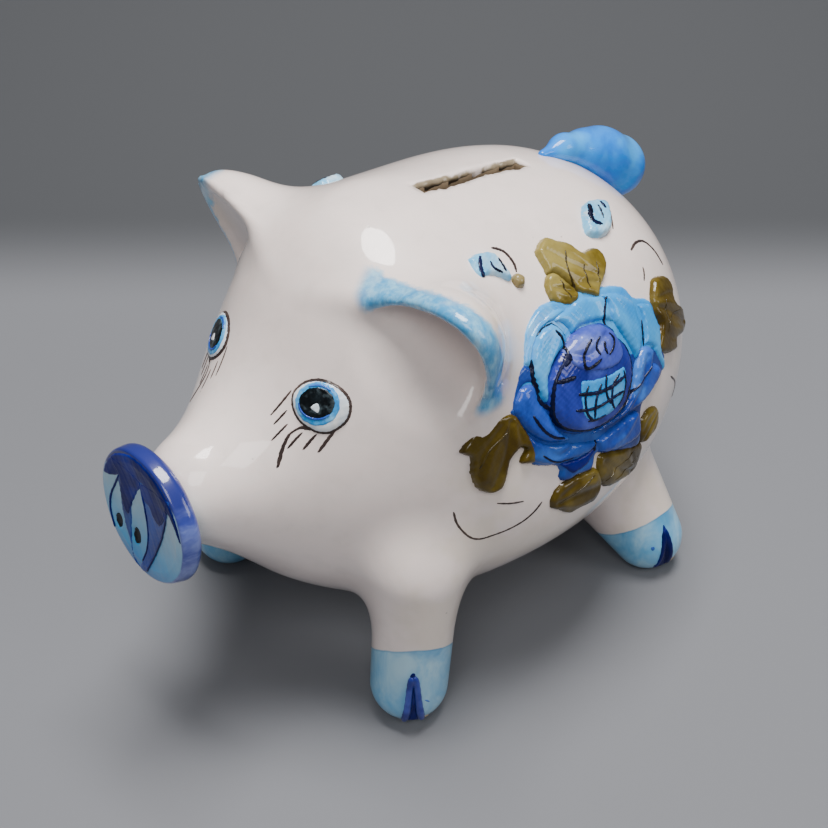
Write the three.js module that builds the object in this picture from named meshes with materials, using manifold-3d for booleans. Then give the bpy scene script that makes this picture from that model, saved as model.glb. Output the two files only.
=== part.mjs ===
// Hand-painted ceramic piggy bank: a hollow slip-cast body with luted-on legs,
// ears, tail, snout disc and eyes, applied clay flowers on both flanks, and a
// soft stopper in the belly. Millimetres, +Z up, the snout points to -Y and the
// pig's left flank is +X. The origin is the bottom centre of the bounding box.
import * as THREE from 'three';
import { mergeVertices } from 'three/addons/utils/BufferGeometryUtils.js';
import Module from 'manifold-3d';

const wasm = await Module();
wasm.setup();

// ---------------------------------------------------------------- dimensions
const Y_SHIFT = 41.78;                // moves the modelling origin to the box centre
const WALL = 4.5;                     // cast wall thickness
const GAP = 0.3;                      // clearance between neighbouring pieces
const TORSO = { c: [0, 70.32, 66.40], r: [53.26, 54.18, 52.59] };
const FLANK = { c: [0, 50.92, 55.95], r: [53.70, 45.37, 26.63], k: 16 };
const HEAD = { c: [0, 22.31, 69.72], r: [37.12, 32.06, 53.19], k: 40.64 };
const BELLY = { z: 16, k: 16 };
const SNOUT = { a: [0, -0.68, 61.08], ra: 22.22, b: [0, -28.21, 69.93], rb: 13.02, k: 24.39 };
const DISC = { c: [0, -41.23, 69.08], r: 17.94, half: 2.9, edge: 1.6, tilt: 0.11, dish: 0.9 };
const FRONT_LEG = { a: [39.94, 4.97, 47.70], ra: 10.39, b: [39.28, 2.54, 9.30], rb: 10.29 };
const REAR_LEG = { a: [20.19, 86.23, 39.53], ra: 17.88, b: [47.96, 91.65, 9.40], rb: 10.43 };
const EAR = {
  o: [30.40, 15.75, 100.80], e1: [0.671, 0.304, -0.676], e2: [0.733, -0.131, 0.668],
  out: [19.5, 25.5, 21.0], inn: [16.2, 21.0, 11.5], root: 6,
};
const TAIL = [[0, 88.5, 116.0, 1.6], [0, 97, 115.0, 3.0], [0, 105.5, 111.5, 5.0], [0, 113, 107.5, 7.2], [0, 120.5, 102.2, 9.0]];
const SLOT = { x: 3.0, y: 58.4, length: 38.8, width: 4.8, z0: 100, z1: 135 };
const PLUG = { y: 60, hole: 13.0, clear: 0.35, flange: 15.8, flangeT: 2.4, into: 7.2, taper: 0.6 };
const EYE = { p: [19.1, -5.6, 92.8], a: 6.6, b: 6.1, h: 1.3 };
const AXIS_Z = 66;                    // flank chart: [y, elevation in degrees] about the line x=0, z=66
const OUTLINE = {
  bud_1: [[34.5, 63.7], [38.0, 63.9], [41.6, 62.5], [42.5, 59.3], [42.7, 55.6], [41.5, 54.9], [39.7, 56.6], [37.3, 57.9], [34.0, 57.9], [33.1, 59.7], [33.8, 62.4]],
  bud_2: [[78.0, 64.3], [83.9, 64.3], [86.4, 62.2], [83.9, 58.3], [80.2, 54.8], [75.7, 54.0], [71.9, 55.9], [73.0, 59.2]],
  leaf_top: [[54.9, 59.5], [58.0, 60.5], [60.7, 59.1], [63.5, 56.1], [64.4, 53.6], [69.1, 52.4], [71.9, 51.7], [72.2, 48.5], [69.5, 45.3], [65.9, 43.3], [64.1, 40.6], [61.0, 41.9], [58.8, 44.2], [57.2, 43.0], [53.9, 42.4], [51.2, 43.9], [50.1, 47.7], [51.3, 50.5], [53.1, 51.5], [52.6, 55.1]],
  leaf_rear_upper: [[85.6, 36.3], [90.0, 36.6], [94.1, 33.9], [93.4, 28.2], [99.5, 21.0], [98.3, 15.9], [89.3, 15.8], [89.6, 13.0], [83.4, 15.5], [78.9, 18.6], [81.2, 22.4], [80.7, 27.4], [82.0, 32.2]],
  leaf_front: [[15.3, 20.6], [18.0, 23.6], [20.6, 25.9], [23.7, 26.1], [27.9, 25.4], [30.2, 23.3], [31.1, 20.0], [31.5, 16.9], [32.5, 13.5], [31.9, 9.6], [30.0, 9.9], [27.7, 9.8], [26.9, 11.3], [30.4, 13.3], [28.6, 14.1], [26.0, 12.3], [24.6, 8.7], [22.8, 5.1], [19.8, 4.8], [17.3, 7.4], [16.5, 12.3], [17.1, 17.2], [15.7, 19.1]],
  leaf_low_front: [[35.2, -6.3], [35.9, -2.8], [39.1, -0.6], [45.7, -0.8], [50.0, -1.8], [51.7, -7.0], [49.4, -11.1], [44.2, -10.8], [40.8, -10.7], [37.8, -8.2]],
  leaf_low_rear: [[51.0, 0.7], [54.1, 0.8], [68.1, -4.1], [69.2, -8.2], [67.4, -12.9], [59.7, -11.5], [53.7, -9.2], [50.8, -4.5]],
  leaf_rear_lower: [[69.3, 2.2], [73.4, 3.6], [77.4, 1.2], [77.8, -3.9], [74.7, -5.9], [68.7, -4.5]],
  rose: [[30.9, 33.7], [32.9, 34.1], [34.9, 35.6], [37.2, 38.8], [40.4, 41.6], [45.9, 43.9], [51.2, 43.4], [53.6, 42.7], [58.1, 42.9], [63.9, 41.1], [68.2, 40.2], [72.8, 38.1], [75.0, 34.4], [80.2, 31.7], [80.9, 27.3], [80.5, 22.7], [76.9, 19.7], [80.5, 17.4], [81.0, 14.0], [77.1, 9.9], [68.8, 7.0], [67.2, -3.1], [59.1, -0.9], [50.6, 2.9], [48.0, -0.4], [43.2, 0.1], [39.9, -0.1], [38.1, 1.3], [38.0, 4.8], [31.4, 8.3], [31.6, 14.7], [29.3, 21.6], [28.6, 25.4]],
  ring: [[62.0, 35.5], [55.2, 37.6], [48.8, 39.2], [46.1, 39.3], [46.9, 35.5], [46.7, 31.7], [42.9, 29.1], [40.2, 26.0], [39.1, 21.4], [39.3, 16.9], [42.0, 13.7], [47.4, 11.1], [52.6, 10.2], [57.2, 11.8], [61.2, 14.4], [63.9, 19.1], [65.4, 22.9], [64.8, 27.2], [62.6, 32.1]],
};
const BERRY = { at: [43.9, 53.7], r: 1.75 };

// ------------------------------------------------- smooth body as a distance
const smin = (a, b, k) => { const h = Math.max(k - Math.abs(a - b), 0) / k; return Math.min(a, b) - h * h * k * 0.25; };
const smax = (a, b, k) => -smin(-a, -b, k);
const ell = (x, y, z, c, r) => {
  const px = (x - c[0]) / r[0], py = (y - c[1]) / r[1], pz = (z - c[2]) / r[2];
  const k0 = Math.hypot(px, py, pz), k1 = Math.hypot(px / r[0], py / r[1], pz / r[2]);
  return k0 * (k0 - 1) / Math.max(k1, 1e-9);
};
const rcone = (x, y, z, a, b, ra, rb) => {
  const ba = [b[0] - a[0], b[1] - a[1], b[2] - a[2]];
  const l2 = ba[0] ** 2 + ba[1] ** 2 + ba[2] ** 2, rr = ra - rb, a2 = l2 - rr * rr, il2 = 1 / l2;
  const pa = [x - a[0], y - a[1], z - a[2]];
  const yy = pa[0] * ba[0] + pa[1] * ba[1] + pa[2] * ba[2], zz = yy - l2;
  const x2 = (pa[0] * l2 - ba[0] * yy) ** 2 + (pa[1] * l2 - ba[1] * yy) ** 2 + (pa[2] * l2 - ba[2] * yy) ** 2;
  const y2 = yy * yy * l2, z2 = zz * zz * l2, k = Math.sign(rr) * rr * rr * x2;
  if (Math.sign(zz) * a2 * z2 > k) return Math.sqrt(x2 + z2) * il2 - rb;
  if (Math.sign(yy) * a2 * y2 < k) return Math.sqrt(x2 + y2) * il2 - ra;
  return (Math.sqrt(x2 * a2 * il2) + yy * rr) * il2 - ra;
};
const core = (x, y, z) => {
  x = Math.abs(x);
  let d = ell(x, y, z, TORSO.c, TORSO.r);
  d = smin(d, ell(x, y, z, FLANK.c, FLANK.r), FLANK.k);
  d = smax(d, BELLY.z - z, BELLY.k);
  d = smin(d, ell(x, y, z, HEAD.c, HEAD.r), HEAD.k);
  return smin(d, rcone(x, y, z, SNOUT.a, SNOUT.b, SNOUT.ra, SNOUT.rb), SNOUT.k);
};
const grad = (f, x, y, z) => {
  const h = 0.2;
  return new THREE.Vector3(f(x + h, y, z) - f(x - h, y, z), f(x, y + h, z) - f(x, y - h, z), f(x, y, z + h) - f(x, y, z - h)).normalize();
};
// distance from o along d at which f reaches the level
const reach = (f, o, d, level, far) => {
  let lo = 0, hi = far;
  for (let i = 0; i < 40; i++) {
    const m = (lo + hi) / 2;
    if (f(o.x + d.x * m, o.y + d.y * m, o.z + d.z * m) < level) lo = m; else hi = m;
  }
  return (lo + hi) / 2;
};

// ---------------------------------------------------------- mesh conversions
function toSolid(geometry) {
  const g = geometry.clone();
  for (const k of Object.keys(g.attributes)) if (k !== 'position') g.deleteAttribute(k);
  const m = mergeVertices(g, 1e-3);
  const index = [];
  const src = m.index.array;
  for (let i = 0; i < src.length; i += 3) {
    if (src[i] !== src[i + 1] && src[i + 1] !== src[i + 2] && src[i] !== src[i + 2]) index.push(src[i], src[i + 1], src[i + 2]);
  }
  return new wasm.Manifold(new wasm.Mesh({ numProp: 3, vertProperties: Float32Array.from(m.attributes.position.array), triVerts: Uint32Array.from(index) }));
}
function toGeometry(solid) {
  const mesh = solid.getMesh();
  const g = new THREE.BufferGeometry();
  g.setAttribute('position', new THREE.BufferAttribute(Float32Array.from(mesh.vertProperties), 3));
  g.setIndex(Array.from(mesh.triVerts));
  g.computeVertexNormals();
  return g;
}
function mirror(geometry) {
  const g = geometry.clone();
  const p = g.attributes.position;
  for (let i = 0; i < p.count; i++) p.setX(i, -p.getX(i));
  const index = g.index.array;
  for (let i = 0; i < index.length; i += 3) { const t = index[i + 1]; index[i + 1] = index[i + 2]; index[i + 2] = t; }
  g.computeVertexNormals();
  return g;
}
// moves every vertex of a unit sphere with the given mapping of its direction
function shape(geometry, map) {
  const g = geometry.clone();
  const p = g.attributes.position;
  const v = new THREE.Vector3();
  for (let i = 0; i < p.count; i++) {
    v.fromBufferAttribute(p, i).normalize();
    const q = map(v);
    p.setXYZ(i, q.x, q.y, q.z);
  }
  return g;
}
// a skin around a segment from a to b: the sphere's poles sit at its two ends
function skinAlong(a, b, f, level, around, along, far = 90) {
  const A = new THREE.Vector3(...a), B = new THREE.Vector3(...b);
  const w = B.clone().sub(A).normalize();
  const u = new THREE.Vector3(1, 0, 0);
  if (Math.abs(w.x) > 0.8) u.set(0, 1, 0);
  u.addScaledVector(w, -u.dot(w)).normalize();
  const v = w.clone().cross(u);
  // a sphere whose Y axis is the segment's direction, kept right-handed
  return shape(new THREE.SphereGeometry(1, around, along), (s) => {
    const o = A.clone().lerp(B, (s.y + 1) / 2);
    const d = w.clone().multiplyScalar(s.y).addScaledVector(v, s.x).addScaledVector(u, s.z).normalize();
    return o.addScaledVector(d, reach(f, o, d, level, far));
  });
}

// ------------------------------------------------------------- body and legs
const bodySkin = (f, level, around, along) => skinAlong([0, -18, 68], [0, 84, 66], f, level, around, along);
const outer = toSolid(bodySkin(core, 0, 40, 34));
const clearOuter = toSolid(bodySkin(core, GAP + 0.05, 40, 34));
const cavityField = (x, y, z) => Math.max(core(x, y, z) + WALL, -(y + 24));
const cavity = toSolid(bodySkin(cavityField, 0, 24, 20));

const discFrame = new THREE.Matrix4().makeBasis(
  new THREE.Vector3(1, 0, 0),
  new THREE.Vector3(0, -1, DISC.tilt).normalize(),
  new THREE.Vector3(1, 0, 0).cross(new THREE.Vector3(0, -1, DISC.tilt).normalize()),
).setPosition(...DISC.c);
const behindDisc = new THREE.BoxGeometry(70, 40, 70).translate(0, 20 - DISC.half - GAP, 0).applyMatrix4(discFrame);

const slotShape = new THREE.Shape();
{
  const hw = SLOT.width / 2, hl = SLOT.length / 2 - 1.6;
  slotShape.moveTo(-hw, -hl).absarc(0, -hl, hw, Math.PI, 2 * Math.PI).lineTo(hw, hl).absarc(0, hl, hw, 0, Math.PI).lineTo(-hw, -hl);
}
const slotCut = new THREE.ExtrudeGeometry(slotShape, { depth: SLOT.z1 - SLOT.z0, bevelEnabled: false, curveSegments: 6 })
  .scale(1, SLOT.length / (SLOT.length - 3.2 + SLOT.width), 1).translate(SLOT.x, SLOT.y, SLOT.z0);

// the belly hole and its stopper share an axis square to the belly
const bellyZ = (() => { let z = 0; while (core(0, PLUG.y, z) > 0) z += 0.01; return z; })();
const bellyN = grad(core, 0, PLUG.y, bellyZ);
const plugFrame = new THREE.Matrix4().makeBasis(
  new THREE.Vector3(1, 0, 0), bellyN, new THREE.Vector3(1, 0, 0).cross(bellyN),
).setPosition(0, PLUG.y, bellyZ);
const holeCut = new THREE.CylinderGeometry(PLUG.hole, PLUG.hole, 24, 32).translate(0, 0, 0).applyMatrix4(plugFrame);

const body = outer.subtract(toSolid(behindDisc)).subtract(cavity).subtract(toSolid(slotCut)).subtract(toSolid(holeCut));

function leg(spec) {
  const f = (x, y, z) => Math.max(rcone(x, y, z, spec.a, spec.b, spec.ra, spec.rb), -z);
  const g = skinAlong(spec.a, spec.b, f, 0, 16, 13, 60);
  const p = g.attributes.position;
  for (let i = 0; i < p.count; i++) if (p.getZ(i) < 0.45) p.setZ(i, 0);
  return toGeometry(toSolid(g).subtract(clearOuter));
}
const frontLeg = leg(FRONT_LEG);
const rearLeg = leg(REAR_LEG);

// ------------------------------------------------------------------ snout disc
const discProfile = [];
{
  const { r, half, edge, dish } = DISC;
  discProfile.push([0, -half]);
  for (let i = 0; i <= 4; i++) { const t = -Math.PI / 2 + (i / 4) * (Math.PI / 2); discProfile.push([r - edge + edge * Math.cos(t), -half + edge + edge * Math.sin(t)]); }
  for (let i = 0; i <= 4; i++) { const t = (i / 4) * (Math.PI / 2); discProfile.push([r - edge + edge * Math.cos(t), half - edge + edge * Math.sin(t)]); }
  discProfile.push([r * 0.72, half - dish * 0.45], [r * 0.4, half - dish * 0.85], [0, half - dish]);
}
const discGeometry = new THREE.LatheGeometry(discProfile.map(([x, y]) => new THREE.Vector2(x, y)), 28).applyMatrix4(discFrame);

// ------------------------------------------------------------------------ ears
// hood of parabolic outline: v = b (1 - (u/a)^2 - (w/c)^2), hollowed on its front
function hood(size, root, around, rings) {
  const [a, b, c] = size;
  const rho = Math.sqrt(1 + root / b);
  const pts = [[0, -root]];
  for (let i = rings; i >= 0; i--) { const t = (i / rings) * rho; pts.push([t, b * (1 - t * t)]); }
  return new THREE.LatheGeometry(pts.map(([x, y]) => new THREE.Vector2(x, y)), around).scale(a, 1, c);
}
const earFrame = (() => {
  const e1 = new THREE.Vector3(...EAR.e1).normalize();
  const e2 = new THREE.Vector3(...EAR.e2); e2.addScaledVector(e1, -e2.dot(e1)).normalize();
  return new THREE.Matrix4().makeBasis(e1, e2, e1.clone().cross(e2)).setPosition(...EAR.o);
})();
// e1 x e2 points forwards and down, where the hood is open
const earOuter = hood(EAR.out, EAR.root, 22, 7).applyMatrix4(earFrame);
const earInner = hood(EAR.inn, EAR.root + 6, 22, 7).applyMatrix4(earFrame);
const earFront = new THREE.BoxGeometry(90, 90, 40).translate(0, 0, 20.8).applyMatrix4(earFrame);
const ear = toGeometry(toSolid(earOuter).subtract(toSolid(earFront)).subtract(toSolid(earInner)).subtract(clearOuter));

// ------------------------------------------------------------------------ tail
const tailField = (x, y, z) => {
  let d = 1e9;
  for (let i = 0; i + 1 < TAIL.length; i++) d = smin(d, rcone(x, y, z, TAIL[i], TAIL[i + 1], TAIL[i][3], TAIL[i + 1][3]), 2);
  return d;
};
const tailCurve = new THREE.CatmullRomCurve3(TAIL.map((t) => new THREE.Vector3(t[0], t[1], t[2])));
const tailGeometry = toGeometry(toSolid(shape(new THREE.SphereGeometry(1, 14, 14), (s) => {
  const t = (s.y + 1) / 2;
  const o = tailCurve.getPoint(t), w = tailCurve.getTangent(t);
  const u = new THREE.Vector3(1, 0, 0), v = w.clone().cross(u).normalize();
  const d = w.multiplyScalar(s.y).addScaledVector(v, s.x).addScaledVector(u, s.z).normalize();
  return o.addScaledVector(d, reach(tailField, o, d, 0, 25));
})).subtract(clearOuter));

// --------------------------------------------------------- eyes and applied clay
const eyeGeometry = (() => {
  const P = new THREE.Vector3(...EYE.p);
  const n = grad(core, ...EYE.p);
  const u = new THREE.Vector3(0, 0, 1).cross(n).normalize(), v = n.clone().cross(u);
  return shape(new THREE.SphereGeometry(1, 14, 6).rotateX(Math.PI / 2), (s) => {
    const o = P.clone().addScaledVector(u, s.x * EYE.a).addScaledVector(v, s.y * EYE.b).addScaledVector(n, -9);
    o.addScaledVector(n, reach(core, o, n, 0, 30));
    const m = grad(core, o.x, o.y, o.z);
    return o.addScaledVector(m, GAP + (s.z >= -1e-6 ? 0.35 + (EYE.h - 0.35) * s.z : 0));
  });
})();

const S = 0.96;                        // millimetres of flank per degree of the chart
function flankPoint(y, s, h) {
  const a = THREE.MathUtils.degToRad(s / S);
  const o = new THREE.Vector3(0, y, AXIS_Z), d = new THREE.Vector3(Math.cos(a), 0, Math.sin(a));
  o.addScaledVector(d, reach(core, o, d, 0, 80));
  return o.addScaledVector(grad(core, o.x, o.y, o.z), h);
}
// distance from c to a closed outline in the direction of the angle
function outlineReach(poly, c, angle) {
  const dx = Math.cos(angle), dy = Math.sin(angle);
  let best = 0;
  for (let i = 0; i < poly.length; i++) {
    const p = poly[i], q = poly[(i + 1) % poly.length];
    const ex = q[0] - p[0], ey = q[1] - p[1], den = dx * ey - dy * ex;
    if (Math.abs(den) < 1e-12) continue;
    const t = ((p[0] - c[0]) * ey - (p[1] - c[1]) * ex) / den, s = ((p[0] - c[0]) * dy - (p[1] - c[1]) * dx) / den;
    if (t > 0 && s >= 0 && s <= 1) best = Math.max(best, t);
  }
  return best;
}
const centre = (poly) => poly.reduce((m, p) => [m[0] + p[0] / poly.length, m[1] + p[1] / poly.length], [0, 0]);
// a pad of clay with the given outline, its underside following the flank
function pad(poly, { low = GAP, edge = 0.9, high = 2.4, shrink = 0.2, around = 14, rings = 6, at = null } = {}) {
  const c = at || centre(poly);
  return shape(new THREE.SphereGeometry(1, around, rings).rotateX(Math.PI / 2), (s) => {
    const rho = Math.min(1, Math.hypot(s.x, s.y)), angle = Math.atan2(s.y, s.x);
    const R = Math.max(0.4, outlineReach(poly, c, angle) - shrink) * rho;
    const h = s.z >= -1e-6 ? low + edge + (high - edge) * s.z : low;
    return flankPoint(c[0] + R * Math.cos(angle), c[1] + R * Math.sin(angle), h);
  });
}
// an upright-sided block over an outline, used to clear room for a neighbour
function column(poly, grow, around, at = null) {
  const c = at || centre(poly);
  return shape(new THREE.SphereGeometry(1, around, 8).rotateX(Math.PI / 2), (s) => {
    const rho = Math.min(1, Math.hypot(s.x, s.y) / 0.92), angle = Math.atan2(s.y, s.x);
    const R = (outlineReach(poly, c, angle) + grow) * rho;
    return flankPoint(c[0] + R * Math.cos(angle), c[1] + R * Math.sin(angle), s.z > 0.2 ? 8 : s.z < -0.2 ? -3 : 2);
  });
}
const toMm = (poly) => poly.map(([y, a]) => [y, a * S]);
const line = Object.fromEntries(Object.entries(OUTLINE).map(([k, v]) => [k, toMm(v)]));
const roseC = centre(line.ring);
const aroundRose = toSolid(column(line.rose, 0.5, 48, roseC));

const petals = [];
const PETALS = 9, FIRST = 10;
for (let i = 0; i < PETALS; i++) {
  const a0 = THREE.MathUtils.degToRad(FIRST + i * 360 / PETALS), a1 = THREE.MathUtils.degToRad(FIRST + (i + 1) * 360 / PETALS);
  const steps = 6, ring = [], rim = [];
  for (let j = 0; j <= steps; j++) {
    const a = a0 + (a1 - a0) * (j / steps), r0 = outlineReach(line.ring, roseC, a) + 0.35, r1 = Math.max(r0 + 2.5, outlineReach(line.rose, roseC, a));
    rim.push([roseC[0] + r1 * Math.cos(a), roseC[1] + r1 * Math.sin(a)]);
    ring.push([roseC[0] + r0 * Math.cos(a), roseC[1] + r0 * Math.sin(a)]);
  }
  petals.push(pad([...rim, ...ring.reverse()], { high: 2.6 + 0.5 * (i % 2), edge: 1.0, shrink: 0.25, around: 14 }));
}
const roseBud = pad(line.ring, { high: 5.2, edge: 2.2, around: 20, rings: 8, at: roseC });
const leaf = (name, opts = {}) => toGeometry(toSolid(pad(line[name], { high: 1.9, edge: 0.8, around: 14, ...opts })).subtract(aroundRose));
const berryAt = [BERRY.at[0], BERRY.at[1] * S];
const ring8 = (c, r) => Array.from({ length: 12 }, (_, i) => [c[0] + r * Math.cos(i * Math.PI / 6), c[1] + r * Math.sin(i * Math.PI / 6)]);
const aroundBerry = toSolid(column(ring8(berryAt, BERRY.r), 0.4, 12));
const berry = pad(ring8(berryAt, BERRY.r), { high: 2.2, edge: 0.8, shrink: 0, around: 12, rings: 6 });
const bud1 = toGeometry(toSolid(pad(line.bud_1, { high: 2.0, edge: 0.8 })).subtract(aroundBerry));
const bud2 = pad(line.bud_2, { high: 2.0, edge: 0.8 });

// --------------------------------------------------------------------- stopper
const plugProfile = [
  [0, -PLUG.into], [PLUG.hole - PLUG.clear - PLUG.taper - 0.8, -PLUG.into], [PLUG.hole - PLUG.clear - PLUG.taper, -PLUG.into + 0.8],
  [PLUG.hole - PLUG.clear, 0.6], [PLUG.flange, 0.6], [PLUG.flange, 0.6 + PLUG.flangeT - 0.7], [PLUG.flange - 0.7, 0.6 + PLUG.flangeT], [0, 0.6 + PLUG.flangeT],
];
const plugGeometry = new THREE.LatheGeometry(plugProfile.map(([x, y]) => new THREE.Vector2(x, y)), 28).applyMatrix4(plugFrame);

// ------------------------------------------------------------------- materials
const glaze = (color) => new THREE.MeshStandardMaterial({ color, roughness: 0.16, metalness: 0 });
const COLOR = { white: 0xe4dad6, sky: 0x5fb4e6, cobalt: 0x2b4fb0, navy: 0x27307f, violet: 0x33409f, olive: 0x7a6526, eye: 0x2d3a44, rubber: 0xcfc9bd };

// -------------------------------------------------------------------- assembly
const piggyBank = new THREE.Group();
piggyBank.position.set(0, -Y_SHIFT, 0);
function add(name, geometry, material) {
  const g = geometry.index ? geometry.clone() : geometry;
  for (const k of Object.keys(g.attributes)) if (k !== 'position') g.deleteAttribute(k);
  const merged = mergeVertices(g, 1e-3);
  const src = merged.index.array, keep = [];
  for (let i = 0; i < src.length; i += 3) if (src[i] !== src[i + 1] && src[i + 1] !== src[i + 2] && src[i] !== src[i + 2]) keep.push(src[i], src[i + 1], src[i + 2]);
  merged.setIndex(keep);
  merged.computeVertexNormals();
  const mesh = new THREE.Mesh(merged, material);
  mesh.name = name;
  piggyBank.add(mesh);
}
function pair(name, geometry, color) {
  add(`${name}_left`, geometry, glaze(color));
  const merged = piggyBank.children[piggyBank.children.length - 1].geometry;
  const mesh = new THREE.Mesh(mirror(merged), glaze(color));
  mesh.name = `${name}_right`;
  piggyBank.add(mesh);
}
add('body_shell', toGeometry(body), glaze(COLOR.white));
add('snout_disc', discGeometry, glaze(COLOR.navy));
add('tail', tailGeometry, glaze(COLOR.sky));
pair('ear', ear, COLOR.white);
pair('front_leg', frontLeg, COLOR.white);
pair('rear_leg', rearLeg, COLOR.white);
pair('eye', eyeGeometry, COLOR.eye);
pair('rose_bud', roseBud, COLOR.violet);
const petalColor = [COLOR.sky, COLOR.sky, COLOR.sky, COLOR.sky, COLOR.cobalt, COLOR.cobalt, COLOR.navy, COLOR.cobalt, COLOR.cobalt];
petals.forEach((g, i) => pair(`rose_petal_${i + 1}`, g, petalColor[i]));
// the top leaf and the rear bud stand on the left flank only
add('leaf_top_left', leaf('leaf_top'), glaze(COLOR.olive));
pair('leaf_rear_upper', leaf('leaf_rear_upper'), COLOR.olive);
pair('leaf_front', leaf('leaf_front'), COLOR.olive);
pair('leaf_low_front', leaf('leaf_low_front'), COLOR.olive);
pair('leaf_low_rear', leaf('leaf_low_rear'), COLOR.olive);
pair('leaf_rear_lower', leaf('leaf_rear_lower'), COLOR.olive);
pair('flower_bud_front', bud1, COLOR.sky);
add('flower_bud_rear_left', bud2, glaze(COLOR.sky));
pair('berry', berry, COLOR.olive);
add('belly_stopper', plugGeometry, new THREE.MeshStandardMaterial({ color: COLOR.rubber, roughness: 0.7, metalness: 0 }));

export default piggyBank;
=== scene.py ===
import bpy
import math
import numpy as np
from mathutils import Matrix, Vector


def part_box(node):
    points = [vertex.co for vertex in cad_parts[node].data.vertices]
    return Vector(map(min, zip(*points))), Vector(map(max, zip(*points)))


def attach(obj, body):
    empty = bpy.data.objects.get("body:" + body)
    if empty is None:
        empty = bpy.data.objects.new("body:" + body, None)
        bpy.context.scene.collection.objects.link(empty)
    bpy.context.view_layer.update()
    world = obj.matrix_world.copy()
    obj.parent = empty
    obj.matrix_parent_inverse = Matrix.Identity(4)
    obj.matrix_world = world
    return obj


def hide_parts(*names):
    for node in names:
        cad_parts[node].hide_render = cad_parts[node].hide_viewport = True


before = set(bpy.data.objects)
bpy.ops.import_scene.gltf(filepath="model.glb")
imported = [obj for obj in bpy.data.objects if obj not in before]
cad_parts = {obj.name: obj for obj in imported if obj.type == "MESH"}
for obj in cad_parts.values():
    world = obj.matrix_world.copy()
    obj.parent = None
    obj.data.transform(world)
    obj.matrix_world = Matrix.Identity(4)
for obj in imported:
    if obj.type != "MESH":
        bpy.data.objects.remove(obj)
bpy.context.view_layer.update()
rng = np.random.RandomState(7)

# ---------------------------------------------------------------------------
# The pig's form, in millimetres. y here is counted from the front feet;
# YS moves it to the row frame.
# ---------------------------------------------------------------------------
YS = -41.78


def smin(a, b, k):
    h = np.maximum(k - np.abs(a - b), 0) / k
    return np.minimum(a, b) - h * h * k * 0.25


def smax(a, b, k):
    return -smin(-a, -b, k)


def ell(p, c, r):
    q = p - np.array(c, float)
    r = np.array(r, float)
    k0 = np.linalg.norm(q / r, axis=-1)
    k1 = np.linalg.norm(q / (r * r), axis=-1)
    return k0 * (k0 - 1) / np.maximum(k1, 1e-9)


def rcone(p, a, b, ra, rb):
    a = np.array(a, float)
    b = np.array(b, float)
    ba = b - a
    l2 = ba @ ba
    rr = ra - rb
    a2 = l2 - rr * rr
    il2 = 1 / l2
    pa = p - a
    y = pa @ ba
    z = y - l2
    xx = pa * l2 - y[..., None] * ba
    x2 = (xx**2).sum(-1)
    y2 = y * y * l2
    z2 = z * z * l2
    k = np.sign(rr) * rr * rr * x2
    d = (np.sqrt(x2 * a2 * il2) + y * rr) * il2 - ra
    c1 = np.sign(z) * a2 * z2 > k
    c2 = (~c1) & (np.sign(y) * a2 * y2 < k)
    d = np.where(c1, np.sqrt(x2 + z2) * il2 - rb, d)
    d = np.where(c2, np.sqrt(x2 + y2) * il2 - ra, d)
    return d


def absx(p):
    q = np.array(p, float)
    q[..., 0] = np.abs(q[..., 0])
    return q


def wob(p, f, s=0.0):
    """slow hand-made unevenness, about -1 to 1"""
    x, y, z = p[..., 0] * f, p[..., 1] * f, p[..., 2] * f
    return (
        np.sin(1.7 * x + 0.9 * y + s) * np.cos(1.3 * z - 0.7 * x + 2.1 * s)
        + np.sin(2.3 * y - 1.1 * z + 1.3 * s) * np.cos(0.8 * y + 1.9 * x)
        + 0.5 * np.sin(4.1 * z + 3.3 * x - s) * np.sin(3.7 * y + 1.1)
    ) / 2.5


def core(p):
    """torso, head and snout barrel"""
    q = absx(p)
    d = ell(q, (0, 70.32, 66.40), (53.26, 54.18, 52.59))
    d = smin(d, ell(q, (0, 50.92, 55.95), (53.70, 45.37, 26.63)), 16.0)
    d = smax(d, 16 - q[..., 2], 16)
    d = smin(d, ell(q, (0, 22.31, 69.72), (37.12, 32.06, 53.19)), 40.64)
    d = smin(d, rcone(q, (0, -0.68, 61.08), (0, -28.21, 69.93), 22.22, 13.02), 24.39)
    return d


FOOT_F = np.array([39.28, 2.54])
FOOT_R = np.array([47.96, 91.65])


def cleft(q, foot, deg, r, top):
    """the groove between the two toes: wide and deep at the ground, closing upward"""
    a = math.radians(deg)
    n = np.array([math.cos(a), math.sin(a)])
    t = np.array([-n[1], n[0]])
    dx = q[..., 0] - foot[0]
    dy = q[..., 1] - foot[1]
    out = dx * n[0] + dy * n[1]
    side = dx * t[0] + dy * t[1]
    z = q[..., 2]
    w = 1.75 * np.clip((top - z) / top, 0, 1) + 0.15
    depth = 1.9 * np.clip((top + 1 - z) / top, 0, 1) ** 0.7
    return np.maximum(np.abs(side) - w, (r - depth) - out)


def legs(p):
    q = absx(p)
    f = rcone(q, (39.94, 4.97, 47.70), (39.28, 2.54, 9.30), 10.39, 10.29)
    f = smax(f, -cleft(q, FOOT_F, -37, 10.3, 19.0), 1.3)
    r = rcone(q, (20.19, 86.23, 39.53), (47.96, 91.65, 9.40), 17.88, 10.43)
    r = smax(r, -cleft(q, FOOT_R, -18, 10.4, 15.5), 1.3)
    return f, r


EO = np.array([30.4, 15.75, 100.8])
E1 = np.array([0.6707, 0.3037, -0.6760])
E1 /= np.linalg.norm(E1)
E2 = np.array([0.733, -0.131, 0.668])
E2 -= (E2 @ E1) * E1
E2 /= np.linalg.norm(E2)
E3 = np.cross(E1, E2)


def par(u, v, w, a, b, c):
    F = (u / a) ** 2 + v / b + (w / c) ** 2 - 1
    return F / np.sqrt((2 * u / a**2) ** 2 + (1 / b) ** 2 + (2 * w / c**2) ** 2)


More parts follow.
